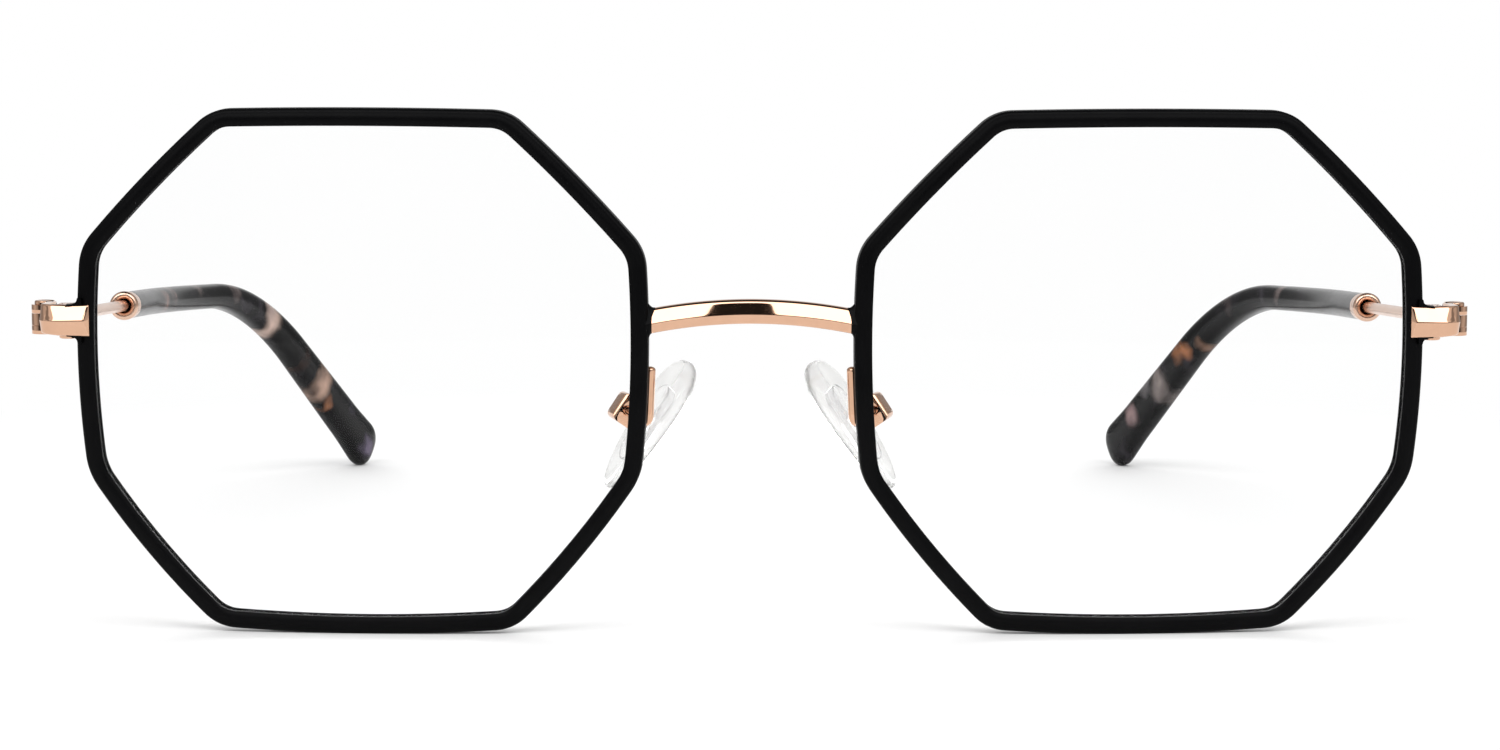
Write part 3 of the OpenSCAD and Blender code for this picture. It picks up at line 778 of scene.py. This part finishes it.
def make_silicone():
    """Soft clear silicone, a little milky."""
    p = Paint("clear_silicone", IOR=1.22, Transmission_Weight=0.84)
    cloud = p.noise(500, 3, 0.55, seed=2)
    p.two_tone(cloud, srgb(238, 238, 237), srgb(251, 251, 250))
    p.drive("Roughness", p.spread(cloud, 0.05, 0.16))
    p.bump(cloud, depth=0.00004, strength=0.2)
    return p.mat


def make_plate():
    """Stiff clear plate that shows faintly through the silicone."""
    p = Paint("clear_pad_plate", Roughness=0.06, IOR=1.3, Transmission_Weight=0.88)
    cloud = p.noise(700, seed=5)
    p.two_tone(cloud, srgb(232, 232, 233), srgb(246, 246, 246))
    p.bump(cloud, depth=0.00003, strength=0.25)
    return p.mat


# Clouds in the tips: distance behind the hinge, height share, radius in millimetres, colour
tip_clouds = {
    "left": [
        (87.5, 0.3, 2.4, (112, 100, 98)), (103, 0.3, 2.4, (84, 74, 74)),
        (118, 0.25, 2.5, (164, 108, 72)), (115.5, 0, 2.2, (196, 128, 86)),
        (112.5, -0.4, 2.1, (132, 100, 82)), (124, -0.1, 3.2, (160, 148, 144)),
        (127, 0.6, 2.6, (104, 100, 102)), (132, 0.1, 2.5, (156, 130, 130))],
    "right": [
        (69, 0, 2.2, (132, 104, 98)), (73, 0.1, 2.1, (136, 114, 110)),
        (85, 0.5, 2.4, (106, 96, 94)), (96.5, 0.5, 2.5, (112, 100, 98)),
        (108, 0, 3.1, (222, 194, 180)), (107, 0.7, 2.4, (170, 152, 146)),
        (118, -0.3, 2.1, (76, 52, 42)), (123.5, 0, 3.1, (214, 178, 158)),
        (126.5, -0.3, 1.9, (176, 120, 88)), (132, 0.3, 2.3, (48, 44, 54)),
        (138, -0.2, 2.5, (132, 120, 146))]}


def make_acetate(side):
    """Mottled acetate: charcoal with soft grey and lilac clouds and placed warmer ones, polished."""
    seed = 11.0 if side == "left" else 23.0
    raggedness = 0.003
    middle_of_push = raggedness / 2
    solid_share = 0.3
    p = Paint(f"mottled_acetate_{side}", Coat_Weight=0.05, Coat_Roughness=0.05, Specular_IOR_Level=0.07)
    ragged = p.shifted(p.position(), 300, raggedness)
    tones = [(0.44, srgb(7, 7, 8)), (0.58, srgb(14, 13, 15)), (0.7, srgb(46, 43, 48)),
             (0.84, srgb(82, 78, 86))]
    colour = p.ramp(p.noise(190, vector=ragged, seed=seed), tones)
    for s, up, size, tone in tip_clouds[side]:
        s = np.float64(s)
        middle = at_temple(way_point(s) + up * tip_height(s) / 2 * height_at(s))
        point = tuple(c + middle_of_push for c in in_frame(middle, SIDES[side]))
        near = p.spread(p.distance(ragged, point), 1.0, 0.0, size * MM * solid_share, size * MM)
        colour = p.mix(near, colour, srgb(*tone))
    p.drive("Base Color", colour)
    polish = p.noise(900)
    p.drive("Roughness", p.spread(polish, 0.12, 0.22))
    p.bump(polish, depth=0.00001, strength=0.08)
    return p.mat


black = make_black()
gold = make_gold("rose_gold", srgb(223, 179, 150), 0.03, 1.0)
gold_pale = make_gold("rose_gold_wire", srgb(226, 190, 168), 0.2, 7.0)
gold_dull = make_gold("rose_gold_brushed", srgb(214, 168, 142), 0.22, 4.0)


# Rims and lenses
fine = lens_path(side_steps=30, outer_steps=16, corner_steps=12)
fine_normals = path_normals(fine)


def arc(cx, cy, r, start, end, steps):
    a = np.radians(np.linspace(start, end, steps))
    return [(cx + r * math.cos(t), cy + r * math.sin(t)) for t in a]


def rim_profile():
    """Fine section of the rim, as distances out from the lens edge and forward of it."""
    inner_r = 0.14
    outer_r = 0.46
    back_r = 0.3
    crown = 0.12
    shoulder = rim_front - crown
    points = [(-rim_lip, groove_w / 2)]
    points += arc(inner_r - rim_lip, shoulder - inner_r, inner_r, 180, 100, 6)
    start = np.array(points[-1])
    end = np.array([rim_out - outer_r, shoulder])
    for t in np.linspace(0.08, 0.92, 11):
        x, y = start + (end - start) * t
        points.append((x, y + crown * 4 * t * (1 - t)))
    points += arc(rim_out - outer_r, shoulder - outer_r, outer_r, 84, 0, 10)
    points += arc(rim_out - back_r, back_r - rim_back, back_r, 0, -90, 7)
    points += arc(back_r - rim_lip, back_r - rim_back, back_r, -90, -180, 7)
    points += [(-rim_lip, -groove_w / 2), (lens_fit, 0)]
    return np.array(points)


def make_rims():
    profile = rim_profile()
    middle = np.array([lens_x, 0, lens_z])
    rings = [rim_offset(p, n, profile[:, 0], profile[:, 1]) + middle for p, n in zip(fine, fine_normals)]
    finish("rim", new_object("rim", loft(rings)), black, sharp=50)


def make_lenses():
    land = rim_lip + lens_fit
    round_off = 0.05

    def edge(inset, w):
        p = fine - inset * fine_normals
        return place(vec(p[:, 0], sag(fine - land * fine_normals) - w, p[:, 1]))

    def face(share, w):
        p = fine * share
        return place(vec(p[:, 0], sag(p) - w, p[:, 1]))

    shares = [0.02, 0.12, 0.24, 0.36, 0.48, 0.6, 0.72, 0.84, 0.93]
    half = lens_t / 2
    rings = [face(s, half) for s in shares]
    rings += [edge(land + round_off, half), edge(land, half - round_off)]
    rings += [edge(land, bevel_w / 2), face(1, 0), edge(land, -bevel_w / 2)]
    rings += [edge(land, round_off - half), edge(land + round_off, -half)]
    rings += [face(s, -half) for s in reversed(shares)]
    finish("lens", new_object("lens", loft(rings)), make_lens(), sharp=30, shadow=False)


# Bridge
half_span = nose_edge[0] + braze
arch_r = (half_span ** 2 + bridge_rise ** 2) / (2 * bridge_rise)
arch_z = nose_edge[2] + bridge_rise - arch_r
half_arch = math.degrees(math.asin(half_span / arch_r))


def bridge_section():
    """Section of the bar as heights above its middle and distances forward, its facets slightly bowed."""
    points = np.array([
        [bridge_h / 2, -bridge_t / 2],
        [bridge_h / 2, bridge_t / 2 - bridge_top_set],
        [-bridge_crease, bridge_t / 2],
        [-bridge_h / 2, bridge_t / 2 - bridge_foot_set],
        [-bridge_h / 2, -bridge_t / 2]])
    radii = [0.35, 0.26, 0.1, 0.24, 0.35]
    bows = [0, 0.03, 0.008, 0, 0]
    return outline(points, radii, bows)


def bridge_ring(angle, points):
    r = arch_r + points[:, 0]
    return vec(r * sind(angle), nose_edge[1] - points[:, 1], arch_z + r * cosd(angle))


def make_bridge():
    steps = 72
    section = bridge_section()
    rings = [bridge_ring(half_arch * (2 * i / steps - 1), section) for i in range(steps + 1)]
    bar = solid("bridge_fine", loft(rings))
    bar.data.transform(Matrix.Scale(MM, 4) @ Matrix.Translation((0, -middle_y, 0)))
    dress(bar, gold)
    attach(bar, "front")
    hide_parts("bridge")


def make_bridge_collars():
    """Black lacquer that flares from the rim's wall onto the ends of the bar."""
    inside_rim = 0.3
    beyond_front = 0.3
    beyond_top = 0.65
    flare = 0.5
    depth_share = 0.2
    skin = 0.012
    section = bridge_section()
    out = unit(section - section.mean(axis=0))
    upward = np.clip(out[:, 0], 0, 1) ** 4
    beyond = beyond_front + (beyond_top - beyond_front) * upward
    steep = out[:, 0] ** 2
    out[:, 1] *= depth_share
    rings = []
    for t in np.linspace(0, 1, 14):
        x = nose_edge[0] + inside_rim - (inside_rim + beyond) * t
        past = np.clip((nose_edge[0] - x) / beyond, 0, 1)
        grow = skin + flare * steep * (1 - past) ** 2
        points = section + out * grow[:, None]
        rise = np.sqrt((arch_r + points[:, 0]) ** 2 - x ** 2)
        rings.append(vec(x, nose_edge[1] - points[:, 1], arch_z + rise))
    collar = new_object("collar", loft(rings))
    finish("bridge_collar", collar, black, stands_for=False)


# End pieces and hinges
plate_back = outer_edge[1] - rim_front + braze
plate_front = plate_back - end_plate_t
leg_out = hinge[0] - end_leg_in
block_x = outer_edge[0] - braze
plate_at = outer_edge[0] - end_over
leg_end = hinge[1] - leg_lap * knuckle_r
flat_l = leg_out - end_bend - plate_at
bend_l = math.pi / 2 * end_bend
leg_l = leg_end - plate_front - end_bend


def plate_way(u):
    """Point on the outer face at a distance from the rim-side end, and the way out of the face."""
    if u < flat_l:
        return np.array([plate_at + u, plate_front]), np.array([0.0, -1.0])
    turn = min((u - flat_l) / bend_l, 1) * math.pi / 2 - math.pi / 2
    out = np.array([math.cos(turn), math.sin(turn)])
    middle = np.array([leg_out - end_bend, plate_front + end_bend])
    past = max(u - flat_l - bend_l, 0)
    return middle + end_bend * out + np.array([0, past]), out


def plate_ring(u, shrink):
    """Section of the end piece: two hollow facets that meet in a crease and fade round the bend."""
    leg_facet = 0.16
    dip = 0.05
    outer_low = 0.22
    end_bevel = 0.5
    bevel_round = 0.06
    lean_back = 0.3
    lean_from = 0.6
    past_bend = smooth((u - flat_l) / bend_l)
    lean = lean_back * smooth((u - lean_from) / flat_l) * (1 - past_bend)
    facet = end_facet + (leg_facet - end_facet) * past_bend
    thick = end_plate_t + (end_leg_t - end_plate_t) * past_bend
    top = end_h / 2 - dip * math.sin(math.pi * min(u / flat_l, 1)) - shrink
    low = end_h / 2 - outer_low * smooth(u / (flat_l + bend_l)) - shrink
    back = shrink - thick
    points = np.array([[top, back], [top, -facet - lean], [0, 0], [-low, -facet], [-low, back]])
    radii = [0.2, 0.22, 0.13, 0.26, 0.2]
    bows = [0, -0.03, -0.01, 0, 0]
    section = outline(points, radii, bows)
    over = section[:, 1] - (u - end_bevel)
    section[:, 1] -= (over + np.sqrt(over ** 2 + bevel_round ** 2)) / 2
    at, out = plate_way(u)
    flat = at + section[:, 1:2] * out
    return vec(flat[:, 0], flat[:, 1], end_z + section[:, 0])


def make_end_pieces():
    lip = 0.05
    bevel_l = 0.8
    stations = np.concatenate([
        [0, lip],
        np.linspace(lip, bevel_l, 16)[1:],
        np.linspace(bevel_l, flat_l, 10)[1:],
        flat_l + np.linspace(0, bend_l, 26)[1:],
        flat_l + bend_l + np.linspace(0, leg_l, 4)[1:]])
    rings = [plate_ring(u, max(lip - u, 0)) for u in stations]
    piece = solid("end_piece", loft(rings))
    x, y, z = hinge
    gap_h = knuckle_mid_h / 2 + knuckle_fit
    combine(piece, "UNION", rod(x, y, knuckle_r, z - barrel_h / 2, z + barrel_h / 2))
    combine(piece, "DIFFERENCE",
            rod(x, y, knuckle_r + swing_fit, z - gap_h, z + gap_h),
            rod(x, y, hinge_screw_r + pin_fit, z - end_h, z + end_h),
            rod(x, y, hinge_head_r + pin_fit, z + barrel_h / 2, z + end_h))
    soften(piece, 0.06, angle=40)
    finish("end_piece", piece, gold)


def make_end_fillets():
    """Black lacquer that runs up from the rim's outer wall onto the plate's upper and lower edges."""
    reach = 1.05
    rise = 0.66
    inside = 0.5
    overlap = 0.2
    sink = 0.1
    set_back = 0.06
    thinner_in_front = 0.15
    low_y = plate_front + end_facet + set_back
    high_y = outer_edge[1] - sink
    x = outer_edge[0]
    z = end_h / 2
    for word, sign in LEVELS.items():
        rings = []
        for t in np.linspace(0, 1, 9):
            fade = 1 - thinner_in_front * (1 - t) ** 3
            points = [(x - inside, z - overlap), (x + reach, z - overlap)]
            for v in np.linspace(0, 1, 13):
                points.append((x - sink + (reach + sink) * fade * (1 - v) ** 2, z + rise * fade * v ** 2))
            points.append((x - inside, z + rise * fade))
            points = np.array(points)
            rings.append(vec(points[:, 0], low_y + (high_y - low_y) * t, end_z + sign * points[:, 1]))
        fillet = new_object("fillet", loft(rings))
        finish(f"end_fillet_{word}", fillet, black, stands_for=False)


def screw(head_r, head_h, shank_r, shank_l, turn, slot_w=0.3):
    """Slotted screw with a softly domed head, its head's seat at height 0 and its shank below."""
    tiny = 0.001
    lead = 0.08
    edge_r = 0.18
    dome = 0.04
    profile = [(tiny, -shank_l), (shank_r - lead, -shank_l), (shank_r, lead - shank_l), (shank_r, 0.0),
               (head_r - lead / 2, 0.0), (head_r, lead / 2)]
    for t in np.linspace(0, math.pi / 2, 6):
        h = head_h - dome - edge_r * (1 - math.sin(t))
        profile.append((head_r - edge_r + edge_r * math.cos(t), h))
    profile += [(head_r * 0.4, head_h - dome / 4), (tiny, head_h)]
    obj = solid("screw", lathe(profile, turn))
    low = (-2 * head_r, -slot_w / 2, head_h / 2)
    high = (2 * head_r, slot_w / 2, 2 * head_h)
    return combine(obj, "DIFFERENCE", block(low, high, turn))


def make_hinge_screws():
    slot_turn = 24

    def turn(p):
        return rotate(p, Z, slot_turn) + np.array([hinge[0], hinge[1], hinge[2] + barrel_h / 2])

    piece = screw(hinge_head_r, hinge_head_h, hinge_screw_r, barrel_h, turn)
    finish("hinge_screw", piece, gold)


block_mid = np.array([block_x + block_w / 2 + braze / 2, plate_back + block_l / 2, end_z])


def make_closings():
    """Small blocks on the two ends of the sawn rim, and the screw that draws them together."""
    x, y, z = block_mid
    head_z = rim_saw / 2 + block_h
    bore = rod(x, y, block_screw_r + pin_fit, z - 2 * block_h, z + 2 * block_h)
    for word, sign in LEVELS.items():
        low, high = sorted((sign * rim_saw / 2, sign * head_z))
        near = (block_x, plate_back, z + low)
        far = (block_x + block_w, plate_back + block_l, z + high)
        piece = solid("block", block(near, far))
        soften(piece, 0.15)
        combine(piece, "DIFFERENCE", bore)
        finish(f"closing_block_{word}", piece, gold_dull)

    def turn(p):
        return vec(p[..., 0], -p[..., 1], -p[..., 2]) + block_mid - np.array([0, 0, head_z])

    piece = screw(block_head_r, block_head_h, block_screw_r, 2 * head_z, turn)
    finish("closing_screw", piece, gold)


# Temples
butt_at = knuckle_r + swing_fit
wire_at = butt_at + wire_stop


def along_temple(p):
    """Z of the given points runs back along the temple."""
    return at_temple(vec(p[..., 0], p[..., 2], -p[..., 1]))


def make_temple_hinges():
    """Middle knuckle, its neck, and the tapered block that takes the wire."""
    x, y, z = hinge
    half = knuckle_mid_h / 2
    skin = 0.003
    tiny = 0.02
    neck_from = 0.2
    neck_into = 0.8
    edge_in = 0.2
    edge_l = 0.22
    edge_bow = 0.06
    straight_at = butt_at + 0.9
    cone_at = butt_at + 2.8
    cone_end = butt_at + butt_l
    cone_r = wire_r + 0.14
    piece = solid("knuckle", rod(x, y, knuckle_r, z - half, z + half))
    neck = block((x - neck_w / 2, y + neck_from, z - half + skin),
                 (x + neck_w / 2, y + butt_at + neck_into, z + half - skin))
    profile = [(tiny, butt_at), (butt_r - edge_in, butt_at), (butt_r - edge_bow, butt_at + edge_bow),
               (butt_r, butt_at + edge_l)]
    profile += [(butt_r, s) for s in np.linspace(straight_at, cone_at, 4)]
    for t in np.linspace(0, 1, 9)[1:]:
        profile.append((butt_r + (cone_r - butt_r) * smooth(t), cone_at + (cone_end - cone_at) * t))
    profile.append((tiny, cone_end))
    combine(piece, "UNION", neck, lathe(profile, along_temple))
    wire_bore = [(wire_r + pin_fit, s) for s in (wire_at, cone_end + 1)]
    combine(piece, "DIFFERENCE",
            rod(x, y, hinge_screw_r + pin_fit, z - end_h, z + end_h),
            lathe(wire_bore, along_temple))
    soften(piece, 0.05)
    finish("temple_hinge", piece, gold, "temple")


def make_temple_wires():
    s = np.linspace(wire_at, temple_l - core_short, 120)
    wire = new_object("wire", tube(at_temple(way_point(s)), wire_r, sides=32, end_bulge=0.0))
    finish("temple_wire", wire, gold_pale, "temple")


def make_ferrules():
    """Collar with a funnel mouth, a full lip, a neck and a barrel that meets the tip."""
    bore = wire_r + pin_fit
    outer_r = 1.6
    lip_r = 0.42
    neck_and_barrel = [
        (outer_r, 0.75), (1.58, 1.05), (1.53, 1.3), (1.49, 1.48), (1.485, 1.62), (1.5, 1.8), (1.52, 2.1),
        (1.525, 2.6), (1.515, 2.9), (tip_t / 2 - 0.01, ferrule_l)]
    profile = [(bore, mouth_depth + 0.1), (wire_r + 0.08, 1.0)]
    profile += arc(outer_r - lip_r, lip_r, lip_r, 180, 360, 15)
    profile += neck_and_barrel + [(bore, ferrule_l)]
    rings = [(r, ferrule_at + h) for r, h in profile]
    collar = new_object("ferrule", lathe(rings, along_temple, 72, closed=True))
    finish("ferrule", collar, gold_pale, "temple", sharp=60)


def make_tips():
    rings = tip_rings(steps=150, round_steps=14, sides=56)
    acetate = {side: make_acetate(side) for side in SIDES}
    tip = new_object("tip", loft(at_temple(rings)))
    finish("temple_tip", tip, acetate, "temple", sharp=70)


# Nose pads: the skin's rings, from dome to back, as shares of the outline and of the depth
pad_profile = [
    (0.02, -1.0), (0.22, -0.993), (0.4, -0.975), (0.56, -0.93), (0.7, -0.86), (0.81, -0.76), (0.89, -0.62),
    (0.945, -0.46), (0.98, -0.26), (1.0, -0.02), (0.995, 0.22), (0.975, 0.45), (0.935, 0.66), (0.875, 0.83),
    (0.78, 0.94), (0.66, 0.985), (0.5, 1.0), (0.25, 1.0), (0.02, 1.0)]


def pad_ring(size, depth, sides=84):
    a = 360 * np.arange(sides) / sides
    up = size * power_of(cosd(a), 2 / pad_bulge)
    swell = 1 + pad_taper * up
    wide = swell * size * power_of(sind(a), 2 / pad_bulge)
    return pad_place(vec(depth * swell, wide * pad_w / 2, up * pad_l / 2))


def make_pads():
    rings = [pad_ring(size, t * (pad_dome if t < 0 else pad_base)) for size, t in pad_profile]
    pad = new_object("pad", loft(rings))
    finish("nose_pad", pad, make_silicone(), "pad", sharp=70, shadow=False)


def stadium(length, width, x, sides=40):
    a = np.linspace(0, 360, sides, endpoint=False) + 180 / sides
    straight = (length - width) / 2
    return pad_place(vec(x, width / 2 * sind(a), width / 2 * cosd(a) + np.sign(cosd(a)) * straight))


def pad_rod(r, low, high, steps=48):
    """Round rod across the tab, from one Y in the pad's frame to another."""
    a = round_angles(steps)
    return loft([pad_place(vec(pad_screw_at + r * np.cos(a), y, r * np.sin(a))) for y in (low, high)])


def make_pad_cores():
    """Stiff plate inside the pad, with the tab that sits in the box."""
    edge = 0.12
    levels = [(edge, -core_t / 2), (0, -core_t / 4), (0, core_t / 4), (edge, core_t / 2)]
    core = solid("core", loft([stadium(core_l - less, core_w - less, x) for less, x in levels]))
    tab = block((0, -tab_t / 2, -tab_r), (pad_screw_at, tab_t / 2, tab_r), pad_place)
    combine(core, "UNION", tab, pad_rod(tab_r, -tab_t / 2, tab_t / 2))
    combine(core, "DIFFERENCE", pad_rod(pad_screw_r + pin_fit, -tab_t, tab_t))
    finish("pad_core", core, make_plate(), "pad", shadow=False)


# Pad boxes and arms
box_in = tab_t + 2 * rock_fit
box_out = box_in + 2 * box_wall
box_mouth = pad_base + pad_box_fit
box_floor = pad_screw_at + tab_r + rock_fit
box_back = box_floor + box_wall


def box_side(w, r, steps=14):
    """Half outline from the mouth to the back, where the corners are rounded."""
    points = [(box_mouth, -w / 2)]
    points += arc(box_back - r, r - w / 2, r, -90, 0, steps)
    points += arc(box_back - r, w / 2 - r, r, 0, 90, steps)
    points.append((box_mouth, w / 2))
    return np.array(points)


def make_pad_boxes():
    """Closed cup with rounded back ends, hollow towards the pad."""
    across = box_side(box_out, box_edge_r)
    along = box_side(box_l, box_round)
    cup = solid("cup", loft([pad_place(vec(across[:, 0], across[:, 1], z)) for z in (-box_l, box_l)]))
    ends = loft([pad_place(vec(along[:, 0], y, along[:, 1])) for y in (-box_out, box_out)])
    combine(cup, "INTERSECT", ends)
    hollow = block((box_mouth - box_wall, -box_in / 2, box_end - box_l / 2),
                   (box_floor, box_in / 2, box_l / 2 - box_end), pad_place)
    combine(cup, "DIFFERENCE", hollow, pad_rod(pad_screw_r + pin_fit, -2 * box_out, 2 * box_out))
    soften(cup, 0.09, segments=4, angle=40)
    finish("pad_box", cup, gold, sharp=50)


def make_pad_screws():
    slot_turn = 35

    def turn(p):
        q = rotate(p, Z, slot_turn)
        return pad_place(vec(q[..., 0] + pad_screw_at, q[..., 2] + box_out / 2, -q[..., 1]))

    shank_l = box_out - box_wall / 2
    piece = screw(pad_head_r, pad_head_h, pad_screw_r, shank_l, turn, slot_w=0.26)
    finish("pad_screw", piece, gold)


def make_pad_arms():
    """Wire down the rim's back edge, round in a loop and into the box."""
    seat = rim_skin(np.array([arm_seat_angle]))[0]
    seat = seat + (arm_r - braze) * np.array([cosd(arm_seat_angle), sind(arm_seat_angle)])

    def seat_point(up):
        p = side_point(NOSE_SIDE, nose_share(up))
        return place(vec(p[0] - seat[0], sag(p) - seat[1], p[1]))

    top = seat_point(arm_up)
    foot = seat_point(arm_up - foot_l)
    end = pad_place(np.array([(box_mouth + box_back) / 2, braze - box_out / 2, 0]))
    down = unit(foot - top)
    into = pad_turn(np.array([0.0, 1.0, 0.0]))
    below_foot = foot + arm_pull * down / 2
    before_end = end - arm_pull * into
    points = [top + (foot - top) * t for t in np.linspace(0, 1, 12)[:-1]]
    for t in np.linspace(0, 1, 40):
        s = 1 - t
        loop = 3 * t * s ** 2 * below_foot + 3 * t * t * s * before_end
        points.append(s ** 3 * foot + loop + t ** 3 * end)
    arm = new_object("arm", tube(points, arm_r))
    finish("pad_arm", arm, gold, sharp=60)


for make in (
        make_rims, make_lenses, make_bridge, make_bridge_collars, make_end_pieces, make_end_fillets,
        make_hinge_screws, make_closings, make_temple_hinges, make_temple_wires, make_ferrules,
        make_tips, make_pads, make_pad_cores, make_pad_boxes, make_pad_screws, make_pad_arms):
    make()


# Studio
def make_floor():
    """Round white table. Seen rays find it a little brighter, and plain white towards its edge."""
    radius = 0.34
    steps = 96
    lift = 0.03
    white_from = 0.1
    white_by = 0.17
    a = round_angles(steps)
    floor = new_object("floor", (radius * vec(np.cos(a), np.sin(a), 0), [range(steps)]))
    p = Paint("white_table", Base_Color=(0.88, 0.88, 0.88, 1), Roughness=0.9, Specular_IOR_Level=0.0)
    seen = p.rays("Camera", "Glossy", "Transmission")
    away = p.add("ShaderNodeVectorMath", {0: p.position()}, operation="LENGTH").outputs["Value"]
    far = p.both(p.step(away, white_from, white_by), seen)
    glow = p.add("ShaderNodeEmission", {"Strength": p.both(seen, lift)})
    lit = p.add("ShaderNodeAddShader", {0: p.shader.outputs[0], 1: glow.outputs[0]})
    white = p.add("ShaderNodeEmission")
    blend = p.add("ShaderNodeMixShader", {0: far, 1: lit.outputs[0], 2: white.outputs[0]})
    p.links.new(blend.outputs[0], p.nodes["Material Output"].inputs["Surface"])
    floor.data.materials.append(p.mat)


def softbox(name, azimuth, elevation, width, height, glow):
    """Area lamp that faces the object. Azimuth 0 is behind the camera; glow is its brightness."""
    distance = 0.9
    a, e = math.radians(azimuth), math.radians(elevation)
    at = Vector((math.sin(a) * math.cos(e), -math.cos(a) * math.cos(e), math.sin(e))) * distance
    lamp = bpy.data.lights.new(name, "AREA")
    lamp.shape = "RECTANGLE"
    lamp.size = width
    lamp.size_y = height
    lamp.energy = glow * math.pi * width * height
    obj = add_object(name, lamp)
    obj.location = at
    obj.rotation_euler = (-at).to_track_quat("-Z", "Y").to_euler()
    obj.visible_camera = False
    obj.visible_glossy = False


def mirror_level(n):
    """What polished metal mirrors: a bright room, two softboxes, a dark gap and ceiling, a dim low front.

    Up and aside are the slopes of a direction that points ahead, to -Y.
    """
    room = 0.9
    dim_middle = 0.06
    dim_side = 0.42
    softbox_level = 3.2
    high = 0.4
    shade = 0.3
    panel = 0.6
    behind = 0.35
    dark = 0.02
    gap_x = -0.008
    gap_w = 0.057
    gap_up = 0.7
    gap_h = 0.7
    gap_power = 6.0

    def bowed(value, middle, half):
        share = n.math("DIVIDE", n.math("SUBTRACT", value, middle), half)
        return n.math("POWER", n.math("ABSOLUTE", share), gap_power)

    where = n.add("ShaderNodeTexCoord").outputs["Generated"]
    x, y, z = n.add("ShaderNodeSeparateXYZ", {0: where}).outputs
    ahead = n.math("MAXIMUM", n.both(y, -1.0), 0.001)
    up = n.math("DIVIDE", z, ahead)
    aside = n.math("ABSOLUTE", n.math("DIVIDE", x, ahead))
    sideways = n.math("ABSOLUTE", x)
    in_front = n.step(y, 0.0, -0.1)
    dim = n.toward(dim_middle, dim_side, n.step(aside, 0.9, 1.8))
    level = n.toward(room, dim, n.both(n.step(up, 0.44, 0.36), n.step(y, 0.1, -0.1)))
    level = n.toward(level, high, n.both(n.step(up, 1.6, 1.8), in_front))
    lights = n.both(n.band(up, (0.38, 0.42), (1.8, 1.6)), n.step(aside, 1.15, 1.05))
    level = n.toward(level, softbox_level, n.both(lights, in_front))
    side_shade = n.band(sideways, (0.8, 0.84), (0.95, 0.92))
    level = n.toward(level, shade, n.both(side_shade, n.step(z, 0.12, 0.2)))
    level = n.toward(level, behind, n.band(y, (0.1, 0.3), (0.96, 0.92)))
    level = n.toward(level, panel, n.both(n.step(sideways, 0.94, 0.96), n.step(y, 0.3, 0.1)))
    gap = n.math("ADD", bowed(x, gap_x, gap_w), bowed(up, gap_up, gap_h))
    level = n.toward(level, dark, n.both(n.step(gap, 1.1, 0.9), in_front))
    return n.toward(level, dark, n.step(z, 0.9, 0.93))


def make_world():
    """Camera and glass rays see white, mirror rays see the studio, and other rays a plain level."""
    plain = 0.42
    world = bpy.data.worlds.new("studio")
    bpy.context.scene.world = world
    world.use_nodes = True
    world.cycles.sampling_method = "NONE"
    n = Nodes(world.node_tree)
    level = n.toward(plain, mirror_level(n), n.rays("Glossy"))
    level = n.toward(level, 1.0, n.rays("Camera", "Transmission"))
    back = n.nodes["Background"].inputs
    n.links.new(level, back["Strength"])
    back["Color"].default_value = (1, 1, 1, 1)


def make_camera():
    """Camera at the photograph's viewpoint, in millimetres and degrees."""
    picture_w = 1500
    sensor = 36
    focal_pixels = 3668.3
    place_at = (-3.477, -419.469, 60.34)
    down = 5.6684
    yaw = -0.5459
    roll = 0.1141
    data = bpy.data.cameras.new("camera")
    data.sensor_width = sensor
    data.lens = focal_pixels / picture_w * sensor
    data.clip_start = 0.01
    data.clip_end = 20
    camera = add_object("camera", data)
    matrix = Matrix.Translation([c * MM for c in place_at])
    for angle, axis in ((yaw, "Z"), (90 - down, "X"), (roll, "Z")):
        matrix = matrix @ Matrix.Rotation(math.radians(angle), 4, axis)
    camera.matrix_world = matrix
    bpy.context.scene.camera = camera


make_floor()
for word, azimuth in (("left", -30), ("right", 30)):
    softbox(f"softbox_{word}", azimuth, elevation=44, width=0.6, height=0.6, glow=2.6)
softbox("backlight", azimuth=180, elevation=24, width=1.4, height=0.5, glow=4.0)
make_world()
make_camera()
bpy.context.scene.view_settings.view_transform = "Standard"
